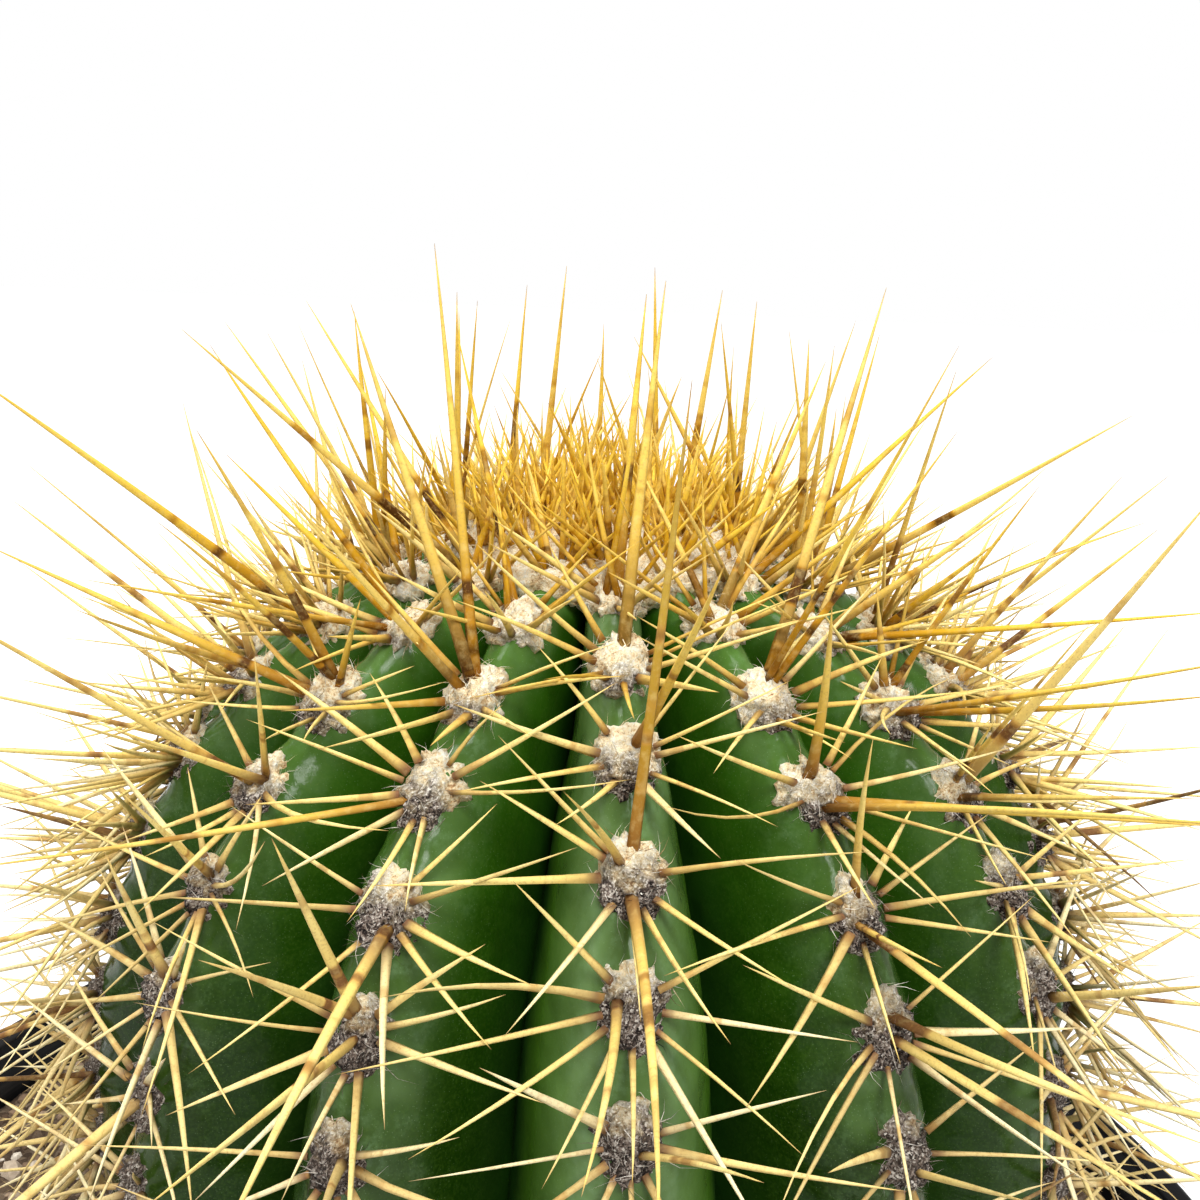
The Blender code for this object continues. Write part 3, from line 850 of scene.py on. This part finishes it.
def make_hairs(name, wool, material, density, length, girth, lying, seed, low_only=False):
    """Loose hairs on a woolly piece, so many a square metre: thin bent cones, mostly lying over."""
    outer_side, lower_part, not_oldest = 0.05, 0.55, 0.75
    g = GeometryTree("wool_hairs", density=density, length=length, girth=girth,
                     curl=0.6 * length, lying=lying, seed=seed, wool=wool, material=material)
    tree = g.tree
    body = other_object(tree, g["wool"])
    chosen = attribute(tree, "top").math('GREATER_THAN', outer_side)
    if low_only:
        chosen = chosen * attribute(tree, "low").math('GREATER_THAN', lower_part) \
            * attribute(tree, "age").math('LESS_THAN', not_oldest)
    spread = tree.nodes.new("GeometryNodeDistributePointsOnFaces")
    for value, key in ((body, "Mesh"), (chosen, "Selection"), (g["density"], "Density"),
                       (g["seed"], "Seed")):
        plug(tree, value, spread.inputs[key])
    swing = random_vector(tree, (0.45, 0.0, -math.pi), (1.0, 0.0, math.pi), g["seed"])
    lean = vector_math(tree, 'MULTIPLY', swing, xyz(tree, g["lying"], 0.0, 1.0))
    turned = add(tree, "FunctionNodeRotateRotation",
                 {0: Field(tree, spread.outputs["Rotation"]), 1: euler(tree, lean)},
                 rotation_space='LOCAL')
    hair = add(tree, "GeometryNodeMeshCone",
               {"Vertices": 3, "Side Segments": 2, "Radius Bottom": g["girth"],
                "Radius Top": 0.0, "Depth": g["length"]}, fill_type='NGON')
    along = parts(tree, position(tree))[2] / g["length"]
    hair = offset(tree, hair, xyz(tree, along * along * g["curl"], 0.0, 0.0))
    scale = random_number(tree, 0.5, 1.3, g["seed"] + 1)
    placed = add(tree, "GeometryNodeInstanceOnPoints",
                 {"Points": Field(tree, spread.outputs["Points"]), "Instance": hair,
                  "Rotation": turned, "Scale": scale})
    tint = random_number(tree, 0.0, 1.0, g["seed"] + 2)
    g.finish(store(tree, placed, "tint", tint, domain='INSTANCE'), smooth=False)
    return g.run(name)


def make_crown_wool(material):
    """The felted cap over the growing point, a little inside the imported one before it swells."""
    inset, sunk = 0.5 * MM, 6 * MM
    low, high = (Vector(corner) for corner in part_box("crown_wool"))
    centre = Vector((STEM_CENTRE.x, STEM_CENTRE.y, high.z - sunk))
    g = GeometryTree("crown_wool", radius=(high.x - low.x) / 2 - inset, height=5.2 * MM,
                     centre=centre, curds=1.4 * MM, swelling=1.8 * MM, material=material)
    tree = g.tree
    ball = add(tree, "GeometryNodeMeshIcoSphere", {"Radius": 1.0, "Subdivisions": 6})
    here = position(tree)
    ball = store(tree, ball, "low", 0.2)
    ball = store(tree, ball, "age", 0.0)
    ball = store(tree, ball, "top", parts(tree, here)[2])
    size = xyz(tree, g["radius"], g["radius"], g["height"])
    shaped = offset(tree, reshape(tree, ball, vector_math(tree, 'MULTIPLY', here, size)), g["centre"])
    g.finish(lump_up(tree, shaped, g["swelling"], g["curds"]))
    return g.run("crown_wool_cap")


# --- spines ----------------------------------------------------------------------------------
class Spine:
    """One spine: butt, direction, sizes and looks; bend is how far its tip strays."""

    def __init__(self, base, aim, length, girth, age, rng, central=0.0, hook=0.0):
        aside = aim.orthogonal().normalized()
        aside.rotate(Matrix.Rotation(rng.uniform(0, math.tau), 3, aim))
        self.base = base
        self.aim = aim.normalized()
        self.length = length
        self.girth = girth
        self.age = age
        self.central = central
        self.tint = rng.random()
        self.bend = aside * length * (hook + rng.uniform(0.0, 0.09))


def packed_centrals():
    """(rib, level, butt, tip, name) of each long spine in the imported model.

    The ends are the two points furthest apart, and the butt is the thicker one.
    """
    prefix = "central_spine_rib"
    found = []
    for name in sorted(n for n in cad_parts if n.startswith(prefix)):
        rib, level = (int(number) - 1 for number in name.removeprefix(prefix).split("_"))
        points = [v.co.copy() for v in bpy.data.objects[name].data.vertices]
        one = max(points, key=lambda p: (p - points[0]).length)
        other = max(points, key=lambda p: (p - one).length)
        middle = (one + other) / 2
        ends = []
        for end in (one, other):
            near = [p for p in points if (p - end).length < (p - middle).length]
            centre = sum(near, Vector()) / len(near)
            ends.append((max((p - centre).length for p in near), centre))
        ends.sort(key=lambda end: -end[0])
        found.append((rib, level, ends[0][1], ends[1][1], name))
    return found


def clear_direction(skin, base, aim, out, length):
    """The direction, raised off the skin in small steps until the spine misses it."""
    in_wool, off_skin, raised, tries = 3.5 * MM, 0.3 * MM, 0.12, 10
    for _ in range(tries):
        start = base + aim * in_wool + out * off_skin
        if skin.ray_cast(start, aim, length - in_wool)[0] is None:
            break
        aim = (aim + out * raised).normalized()
    return aim


ABOVE_SKIN = 0.2 * MM           # where the radial spines start
# a clock angle from the crown's direction, on each side, and a length in mm
RADIALS = ((38, 13), (68, 19), (93, 22), (120, 20), (152, 17))
FURTHER_RADIALS = ((80, 24), (108, 22), (135, 19), (60, 18))      # off the front ribs
OLDER_RADIALS = ((162, 20), (148, 23))                            # off them, below the crown


def radial_spine(areole, side, angle, length, skin, rng):
    """One pale spine at a clock angle on one side of a cushion, or None where it is missing."""
    nearly_up, nearly_down = 50, 140
    missing = 0.08
    young = 1 - min(areole.age * 2.5, 1)
    front = areole.rib in FRONT_RIBS
    if angle < nearly_up and rng.random() > 0.35 + 0.4 * young:
        return None
    if rng.random() < missing:
        return None
    stray = 10 if front else 24
    steepest = 26 if front else 55
    clock = side * (angle + rng.uniform(-stray, stray))
    rise = rng.uniform(8, steepest) + 24 * young + (10 if angle > nearly_down else 0)
    length = (length + rng.uniform(-4, 4)) * MM * (1 - 0.15 * young)
    base = areole.edge(clock, 0.78) + areole.out * ABOVE_SKIN
    aim = clear_direction(skin, base, areole.around(clock, rise), areole.out, length)
    hook = rng.uniform(0.12, 0.3) if rng.random() < 0.06 + 0.08 * areole.age else 0.0
    girth = rng.uniform(0.33, 0.53) * MM
    return Spine(base, aim, length, girth, areole.age, rng, 0.0, hook)


def lowest_spine(areole, rng):
    """The short thin spine that points down the rib."""
    down, girth = 180, 0.34 * MM
    base = areole.edge(down, 0.8) + areole.out * ABOVE_SKIN
    aim = areole.around(down + rng.uniform(-9, 9), rng.uniform(22, 38))
    return Spine(base, aim, rng.uniform(10, 15) * MM, girth, areole.age, rng)


def radial_spines(areole, skin, rng):
    """The pale spines round the edge of a cushion."""
    has_lowest = 0.55
    habits = RADIALS
    if areole.rib not in FRONT_RIBS:
        habits += FURTHER_RADIALS
        if areole.level > 1:
            habits += OLDER_RADIALS
    spines = [radial_spine(areole, side, angle, length, skin, rng)
              for side in (-1, 1) for angle, length in habits]
    spines = [spine for spine in spines if spine]
    if rng.random() < has_lowest:
        spines.append(lowest_spine(areole, rng))
    return spines


def crown_spines(areole, rng):
    """Short erect amber spines of the youngest areoles; the innermost ones have fewer."""
    youngest_age = -0.2
    count, widest = (12, 1.2) if areole.level == -1 else (8, 0.9)
    spines = []
    for _ in range(count):
        clock = rng.uniform(0, 360)
        base = areole.edge(clock, 0.7 * math.sqrt(rng.random()))
        aim = (areole.out + areole.around(clock, 0) * rng.uniform(0.1, widest)).normalized()
        length = rng.uniform(8, 19) * MM
        girth = rng.uniform(0.38, 0.62) * MM
        spines.append(Spine(base, aim, length, girth, youngest_age, rng, 0.5))
    return spines


# the front ribs' further long spines, (rib, level): (lift, sideways tilt, length in mm) of each;
# they began as figures of a fitting script and were then set in steps of five
STRAY_CENTRALS = {
    (0, 2): ((0, 10, 35),),
    (0, 3): ((-35, 0, 50), (0, -10, 30)),
    (0, 4): ((-10, -5, 40),),
    (1, 1): ((45, 25, 50), (5, 5, 45), (15, 25, 35)),
    (1, 2): ((25, -10, 25), (-20, 0, 50)),
    (1, 3): ((-30, -5, 45), (50, -10, 20), (-20, -10, 15)),
    (1, 4): ((-10, 0, 35),),
    (2, 1): ((-50, 5, 45),),
    (2, 2): ((-40, 10, 35), (15, 15, 30), (40, -20, 15), (-25, -20, 45)),
    (2, 3): ((-15, -20, 30), (25, -30, 15), (20, -15, 30)),
    (3, 0): ((-35, -5, 45),),
    (3, 1): ((-30, 20, 40), (-10, -10, 20)),
    (3, 2): ((10, 5, 35),),
    (11, 1): ((-15, 5, 50),),
    (12, 0): ((-30, -20, 45),),
    (12, 1): ((-50, -20, 35), (0, -30, 40)),
    (12, 2): ((-20, -30, 40), (15, 0, 35), (0, 0, 30), (30, 30, 15)),
    (12, 3): ((35, 25, 20), (-5, 10, 20)),
    (12, 4): ((25, 20, 20),),
    (12, 5): ((50, 5, 20),),
    (13, 1): ((40, -25, 45), (50, -15, 50), (-10, -10, 35)),
    (13, 3): ((-30, 15, 45),),
    (13, 4): ((40, 0, 30), (20, -5, 25)),
}


def packed_spines(packed, known, rng):
    """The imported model's long spines, with their butts drawn down into the wool."""
    drawn_in, straighter = 1.2 * MM, 0.3
    spines = []
    for rib, level, butt, tip, _ in packed:
        aim = tip - butt
        stout = 0.18 if level < 2 else 0.04
        made = Spine(butt - aim.normalized() * drawn_in, aim, aim.length + drawn_in,
                     (rng.uniform(0.55, 0.68) + stout) * MM, known[(rib, level)].age, rng, 1.0)
        made.bend *= straighter
        spines.append(made)
    return spines


def stray_spines(known, rng):
    """The front ribs' further long spines, from the side of the cushion that they lean to."""
    off_middle, a_little_up = 0.4, 0.2
    spines = []
    for place, strays in STRAY_CENTRALS.items():
        areole = known[place]
        for lift, tilt, length in strays:
            across = math.sin(math.radians(tilt))
            towards_crown = math.sin(math.radians(lift)) + a_little_up
            base = areole.edge(math.degrees(math.atan2(across, towards_crown)), off_middle)
            girth = rng.uniform(0.56, 0.72) if areole.level < 3 else rng.uniform(0.50, 0.64)
            spines.append(Spine(base, areole.aim(lift, tilt), length * MM, girth * MM, areole.age,
                                rng, 1.0))
    return spines


def further_count(areole, chosen, rng):
    """How many more central spines an areole has; the front ribs' chosen ones need none."""
    if areole.level <= 0:
        return 2 if areole.level == 0 else 1
    if areole.rib not in FRONT_RIBS:
        return rng.choice((2, 2, 3))
    return 0 if (areole.rib, areole.level) in chosen else 1


def further_centrals(areole, count, skin, rng):
    """Central spines drawn at random, more upright and shorter towards the crown."""
    upright = Vector((0, 0, 0.6))
    lifts = (-28, 38) if areole.level > 0 else (10, 55)
    lengths = (14, 24)
    if areole.level >= 0:
        lengths = (15, 28) if areole.rib in FRONT_RIBS else (15, 40)
    spines = []
    for _ in range(count):
        lift = rng.uniform(*lifts)
        tilt = rng.uniform(-34, 34)
        length = rng.uniform(*lengths) * MM
        aim = areole.aim(lift, tilt)
        if areole.level < 0:
            aim = (aim + upright).normalized()
        base = areole.edge(rng.uniform(0, 360), 0.35)
        aim = clear_direction(skin, base, aim, areole.out, length)
        spines.append(Spine(base, aim, length, rng.uniform(0.42, 0.62) * MM, areole.age, rng, 0.6))
    return spines


def central_spines(packed, areoles, skin, rng):
    """The long stout spines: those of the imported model, those that stand out and the rest."""
    known = {(a.rib, a.level): a for a in areoles}
    chosen = {(rib, level) for rib, level, *_ in packed} | set(STRAY_CENTRALS)
    spines = packed_spines(packed, known, rng) + stray_spines(known, rng)
    for areole in areoles:
        spines += further_centrals(areole, further_count(areole, chosen, rng), skin, rng)
    return spines


def grow(name, spines, material, sides, steps):
    """Spines on points: a tapered rod on each, scaled, aimed and then bent."""
    points = point_mesh(
        name, [s.base for s in spines], aim=[s.aim for s in spines], bend=[s.bend for s in spines],
        girth=[s.girth for s in spines], length=[s.length for s in spines],
        tint=[s.tint for s in spines], age=[s.age for s in spines],
        central=[s.central for s in spines])
    point, flare_power = 0.04, 14       # girth left at the tip, and how soon the foot's flare ends
    g = GeometryTree("spines", sides=sides, steps=steps, flare=0.3, flatness=0.66, taper=1.9,
                     bow=2.0, seed=5, material=material)
    tree = g.tree
    rod = add(tree, "GeometryNodeMeshCylinder",
              {"Vertices": g["sides"], "Side Segments": g["steps"], "Radius": 1.0, "Depth": 1.0},
              fill_type='NGON')
    x, y, z = parts(tree, position(tree))
    along = z + 0.5
    rod = store(tree, rod, "along", along)
    taper = (1 - along ** g["taper"]) * (1 - point) + point
    foot = (1 - along) ** flare_power * g["flare"] + 1
    shaped = reshape(tree, rod, xyz(tree, x * taper * foot, y * taper * foot * g["flatness"], along))
    aim = attribute(tree, "aim", 'FLOAT_VECTOR')
    aimed = add(tree, "FunctionNodeAlignRotationToVector", {"Vector": aim}, axis='Z')
    spin = random_number(tree, 0.0, math.tau, g["seed"])
    turned = add(tree, "FunctionNodeRotateRotation", {
        0: aimed, 1: add(tree, "FunctionNodeAxisAngleToRotation",
                         {"Axis": (0, 0, 1), "Angle": spin})}, rotation_space='LOCAL')
    girth = attribute(tree, "girth")
    placed = add(tree, "GeometryNodeInstanceOnPoints",
                 {"Points": g["Geometry"], "Instance": shaped, "Rotation": turned,
                  "Scale": xyz(tree, girth, girth, attribute(tree, "length"))})
    real = add(tree, "GeometryNodeRealizeInstances", {"Geometry": placed})
    bow = attribute(tree, "along") ** g["bow"]
    g.finish(offset(tree, real, scaled(tree, attribute(tree, "bend", 'FLOAT_VECTOR'), bow)))
    return g.run(name, points)


# --- soil and pot ----------------------------------------------------------------------------
def mesh_of(name, shape):
    """A finished mesh from a shape under construction."""
    mesh = bpy.data.meshes.new(name)
    shape.to_mesh(mesh)
    shape.free()
    return mesh


def turned_mesh(name, outline, steps, wobble=None):
    """A closed outline of (radius, z) turned round the axis; its ends lie on the axis."""
    shape = bmesh.new()
    rings = []
    for radius, z in outline:
        count = 1 if radius == 0 else steps
        ring = []
        for i in range(count):
            turn = math.tau * i / steps
            spot = Vector((radius * math.cos(turn), radius * math.sin(turn), z))
            if wobble:
                spot.z += wobble(spot)
            ring.append(shape.verts.new(spot))
        rings.append(ring)
    for upper, lower in zip(rings, rings[1:]):
        for i in range(steps):
            j = (i + 1) % steps
            corners = [upper[i % len(upper)], upper[j % len(upper)], lower[j % len(lower)],
                       lower[i % len(lower)]]
            shape.faces.new(list(dict.fromkeys(corners)))
    bmesh.ops.recalc_face_normals(shape, faces=shape.faces)
    for face in shape.faces:
        face.smooth = True
    return mesh_of(name, shape)


def crumbly(spot):
    """How far a point of the soil's top is raised or sunk, in lumps and in crumbs."""
    lowest_top = SOIL_EDGE_Z - 1 * MM
    if spot.z < lowest_top:
        return 0.0
    lumps = simplex.noise(spot * 60) * 1.2 * MM
    return lumps + simplex.noise(spot * 260) * 0.8 * MM


def make_soil(material):
    """The potting mix: a closed block with an uneven, slightly mounded top."""
    first = 45 * MM                     # under the stem
    last = SOIL_RADIUS - 0.3 * MM
    mound_radius, mound_slope = 60 * MM, 52 * MM
    bottom = SOIL_EDGE_Z - 25 * MM
    rings, sides = 52, 240
    outline = [(0, SOIL_TOP)]
    for i in range(rings + 1):
        radius = first + (last - first) * i / rings
        share = min(max((radius - mound_radius) / mound_slope, 0), 1)
        outline.append((radius, SOIL_TOP - (SOIL_TOP - SOIL_EDGE_Z) * share))
    outline += [(last - 4 * MM, bottom), (0, bottom)]
    soil = add_object("soil_surface", turned_mesh("soil_surface", outline, sides, crumbly))
    soil.data.materials.append(material)
    return soil


def flat_length(tree, vector):
    """How long a vector is when seen from above."""
    level = vector_math(tree, 'MULTIPLY', vector, (1.0, 1.0, 0.0))
    return vector_math(tree, 'LENGTH', level, output="Value")


def open_soil(g):
    """1 on the soil's top between the stem and the pot's wall, and 0 elsewhere."""
    fairly_level = 0.3
    here = position(g.tree)
    from_stem = flat_length(g.tree, vector_math(g.tree, 'SUBTRACT', here, g["stem"]))
    upward = vector_math(g.tree, 'DOT_PRODUCT', add(g.tree, "GeometryNodeInputNormal"),
                         (0.0, 0.0, 1.0), output="Value")
    return from_stem.math('GREATER_THAN', g["stem_radius"]) \
        * flat_length(g.tree, here).math('LESS_THAN', g["pot_radius"]) \
        * upward.math('GREATER_THAN', fairly_level)


def make_grit(name, soil, material, density, smallest, largest, seed):
    """Crumbs of bark, peat and pumice scattered over the soil, most of them small."""
    g = GeometryTree("soil_grit", density=density, smallest=smallest, largest=largest, seed=seed,
                     mostly_small=2.5, roughness=0.35, stem=STEM_CENTRE, stem_radius=61 * MM,
                     pot_radius=SOIL_RADIUS - 1.5 * MM, soil=soil, material=material)
    tree = g.tree
    scatter = add(tree, "GeometryNodeDistributePointsOnFaces",
                  {"Mesh": other_object(tree, g["soil"]), "Selection": open_soil(g),
                   "Density": g["density"], "Seed": g["seed"]})
    share = random_number(tree, 0.0, 1.0, g["seed"] + 2)
    size = g["smallest"] + share ** g["mostly_small"] * (g["largest"] - g["smallest"])
    squash = random_vector(tree, (0.6, 0.6, 0.45), (1.3, 1.1, 0.9), g["seed"] + 3)
    spin = random_vector(tree, (-0.6, -0.6, 0.0), (0.6, 0.6, 6.3), g["seed"] + 4)
    tint = random_number(tree, 0.0, 1.0, g["seed"] + 5)
    crumb = add(tree, "GeometryNodeMeshIcoSphere", {"Radius": 1.0, "Subdivisions": 1})
    placed = add(tree, "GeometryNodeInstanceOnPoints",
                 {"Points": scatter, "Instance": crumb, "Rotation": euler(tree, spin),
                  "Scale": scaled(tree, squash, size)})
    placed = store(tree, placed, "tint", tint, domain='INSTANCE')
    real = add(tree, "GeometryNodeRealizeInstances", {"Geometry": placed})
    rough = noise(tree, position(tree), 900.0) * g["largest"] * g["roughness"]
    g.finish(push_out(tree, real, rough), smooth=False)
    return g.run(name)


def arc(centre_r, centre_z, radius, start, end, steps):
    """Points of (radius, z) along an arc, angles in degrees from the +r direction."""
    angles = [math.radians(start + (end - start) * i / steps) for i in range(steps + 1)]
    return [(centre_r + radius * math.cos(a), centre_z + radius * math.sin(a)) for a in angles]


def pot_outline():
    """(radius, z) of the pot's wall from the middle of its floor, over the lip, to underneath."""
    under = POT_HEIGHT - RIM_BAND
    inner_top = POT_TOP_RADIUS - POT_WALL
    inner_base = POT_BASE_RADIUS - POT_WALL
    lip, rim, fillet = 0.8 * MM, 1.6 * MM, 3 * MM
    recess = 0.8 * MM                   # the underside inside the foot ring
    outline = [(0, POT_FLOOR), (inner_base - 20 * MM, POT_FLOOR)]
    outline += arc(inner_base - fillet, POT_FLOOR + fillet, fillet, -90, -8, 5)
    outline += [(inner_top, under), (inner_top + 0.2 * MM, under + 1 * MM)]
    outline += [(inner_top + 0.6 * MM, POT_HEIGHT - 0.6 * MM)]
    outline += arc(inner_top + 1.4 * MM, POT_HEIGHT - lip, lip, 180, 90, 4)
    outline += arc(POT_RIM_RADIUS - rim, POT_HEIGHT - rim, rim, 90, 0, 6)
    outline += [(POT_RIM_RADIUS - 0.3 * MM, under + 7 * MM)]
    outline += arc(POT_RIM_RADIUS - 1.3 * MM, under + lip, lip, 0, -90, 4)
    outline += [(POT_TOP_RADIUS + 0.6 * MM, under), (POT_TOP_RADIUS, under - 0.8 * MM)]
    outline += [(POT_TOP_RADIUS - 0.4 * MM, under - 3 * MM)]
    for share in (0.30, 0.62, 0.93):
        radius = POT_TOP_RADIUS + (POT_BASE_RADIUS - POT_TOP_RADIUS) * share
        outline.append((radius, under * (1 - share)))
    outline += arc(POT_BASE_RADIUS - fillet, fillet, fillet, -5, -90, 6)
    outline += [(POT_BASE_RADIUS - 7 * MM, 0), (POT_BASE_RADIUS - 8.5 * MM, recess)]
    outline += [(20 * MM, recess), (0, recess)]
    return outline


def drain_cutters():
    """Upright rods through the pot's floor, where its drain holes are."""
    holes, radius, circle, length = 8, 6 * MM, 68 * MM, 12 * MM
    cutters = []
    for i in range(holes):
        turn = math.tau * (i + 0.5) / holes
        shape = bmesh.new()
        place = Matrix.Translation((circle * math.cos(turn), circle * math.sin(turn), 0))
        bmesh.ops.create_cone(shape, cap_ends=True, segments=32, radius1=radius, radius2=radius,
                              depth=length, matrix=place)
        cutters.append(add_object("drain_cutter", mesh_of("drain_cutter", shape)))
    return cutters


def make_pot(material):
    """The round nursery pot: thin tapered wall, rim band with a rolled lip, drain holes."""
    pot = add_object("pot_shell", turned_mesh("pot_shell", pot_outline(), 160))
    cutters = drain_cutters()
    for cutter in cutters:
        hole = pot.modifiers.new("drain", 'BOOLEAN')
        hole.operation = 'DIFFERENCE'
        hole.solver = 'EXACT'
        hole.object = cutter
    graph = bpy.context.evaluated_depsgraph_get()
    drained = bpy.data.meshes.new_from_object(pot.evaluated_get(graph))
    pot.modifiers.clear()
    pot.data = drained
    for cutter in cutters:
        bpy.data.objects.remove(cutter)
    pot.data.materials.clear()
    pot.data.materials.append(material)
    return pot


# --- the set ---------------------------------------------------------------------------------
def where_seen(tree):
    """1 for the camera, straight or by way of gloss or glass, and 0 for other light."""
    path = tree.nodes.new("ShaderNodeLightPath")
    direct, glossy, through = (Field(tree, path.outputs[kind]) for kind in
                               ("Is Camera Ray", "Is Glossy Ray", "Is Transmission Ray"))
    return direct.math('MAXIMUM', glossy).math('MAXIMUM', through)


def white_floor():
    """A pale floor that keeps the plant's shadow and is whiter away from it."""
    bpy.ops.mesh.primitive_plane_add(size=12)
    floor = bpy.context.object
    floor.name = "floor"
    pale = Surface("pale_floor", Base_Color=(0.9, 0.9, 0.9, 1), Roughness=0.9,
                   Specular_IOR_Level=0.1, Emission_Color=(1, 1, 1, 1))
    away = vector_math(pale.tree, 'LENGTH', pale.place, output="Value")
    glow = where_seen(pale.tree) * pale.level(away, 0.25, 0.9, 0.15, 0.9)
    floor.data.materials.append(pale.set(Emission_Strength=glow))


def white_surroundings():
    """Soft even light from all round, with a white background where the camera sees it."""
    world = bpy.data.worlds.new("surroundings")
    bpy.context.scene.world = world
    world.use_nodes = True
    background = world.node_tree.nodes["Background"]
    background.inputs["Color"].default_value = (1, 1, 1, 1)
    strength = where_seen(world.node_tree) * 0.7 + 0.3
    plug(world.node_tree, strength, background.inputs["Strength"])


def soft_lamp(name, place, size, watts):
    """A square lamp turned to the upper part of the stem."""
    target = Vector((STEM_CENTRE.x, STEM_CENTRE.y, 0.26))
    data = bpy.data.lights.new(name, 'AREA')
    data.shape = 'SQUARE'
    data.size = size
    data.energy = watts
    lamp = add_object(name, data)
    lamp.location = place
    lamp.rotation_euler = (target - Vector(place)).to_track_quat('-Z', 'Y').to_euler()


def set_camera():
    """Just above the crown and close in, looking a little down and turned a touch."""
    yaw, pitch, roll = (math.radians(angle) for angle in (-0.5, 17.0, 2.3))
    place = Vector((12, -147, 346)) * MM
    forward = Vector((math.sin(yaw) * math.cos(pitch), math.cos(yaw) * math.cos(pitch),
                      -math.sin(pitch)))
    level = Vector((math.cos(yaw), -math.sin(yaw), 0))
    above = level.cross(forward)
    right = level * math.cos(roll) + above * math.sin(roll)
    upward = above * math.cos(roll) - level * math.sin(roll)
    data = bpy.data.cameras.new("camera")
    data.sensor_width = 36
    data.angle = math.radians(54)
    data.clip_start = 5 * MM
    camera = add_object("camera", data)
    turned = Matrix((right, upward, -forward)).transposed().to_4x4()
    camera.matrix_world = Matrix.Translation(place) @ turned
    bpy.context.scene.camera = camera


def set_the_scene():
    """Camera, floor, surroundings and three soft lamps."""
    set_camera()
    white_floor()
    white_surroundings()
    soft_lamp("key_lamp", (0.24, -0.74, 1.12), size=0.36, watts=11)
    soft_lamp("fill_lamp", (-0.95, 0.1, 0.7), size=0.6, watts=3)
    soft_lamp("top_lamp", (-0.20, 0.10, 1.35), size=0.5, watts=10)
    bpy.context.scene.view_settings.view_transform = 'Standard'


# --- the potted plant ------------------------------------------------------------------------
def cover_in_wool(areoles, feet, wool, hair):
    """Cushions and hairs, in two pieces of each for the even and the odd ribs, and the crown's."""
    for parity, label in enumerate(("even", "odd")):
        half = [a for a in areoles if a.rib % 2 == parity]
        cushions = ride(make_cushions(f"areole_wool_{label}_ribs", half, feet, wool), "wool")
        ride(make_hairs(f"wool_hairs_{label}_ribs", cushions, hair, density=0.9e6,
                        length=1.9 * MM, girth=0.055 * MM, lying=1.5, seed=11), "wool")
        ride(make_hairs(f"loose_hairs_{label}_ribs", cushions, hair, density=1.3e5,
                        length=3.2 * MM, girth=0.035 * MM, lying=1.5, seed=23, low_only=True),
             "wool")
    crown = ride(make_crown_wool(wool), "wool", "crown_wool")
    ride(make_hairs("crown_hairs", crown, hair, density=0.9e6, length=2.2 * MM,
                    girth=0.055 * MM, lying=1.4, seed=31), "wool")


def make_plant():
    """The ribbed stem with its areoles, wool and spines."""
    wool = wool_material()
    hair = wool_material("wool_hair", tinted=True)
    horn = spine_material()
    areoles = make_areoles()
    skin = ride(make_skin(areoles, skin_material()), "stem", "stem")
    surface = surface_of(skin)
    seat_on(areoles, surface)

    packed = packed_centrals()
    rng = random.Random(21)
    centrals = central_spines(packed, areoles, surface, rng)
    radials = [s for a in areoles if a.level >= 0 for s in radial_spines(a, surface, rng)]
    young = [s for a in areoles if a.level < 0 for s in crown_spines(a, rng)]

    feet = spine_feet(centrals + radials + young)
    cover_in_wool(areoles, feet, wool, hair)
    bpy.data.objects.remove(feet)

    names = [name for *_, name in packed]
    ride(grow("central_spines", centrals, horn, sides=6, steps=8), "spines", *names)
    ride(grow("radial_spines", radials, horn, sides=5, steps=5), "spines")
    ride(grow("crown_spines", young, horn, sides=5, steps=5), "spines")


def make_potful():
    """The soil with its small crumbs and larger chips, and the pot."""
    grit = grit_material()
    soil = ride(make_soil(soil_material()), "soil", "soil")
    ride(make_grit("soil_crumbs", soil, grit, density=1.2e5, smallest=0.5 * MM,
                   largest=1.9 * MM, seed=41), "soil")
    ride(make_grit("soil_chips", soil, grit, density=1.2e4, smallest=1.4 * MM,
                   largest=3.8 * MM, seed=47), "soil")
    ride(make_pot(pot_material()), "pot", "pot")


set_the_scene()
make_plant()
make_potful()
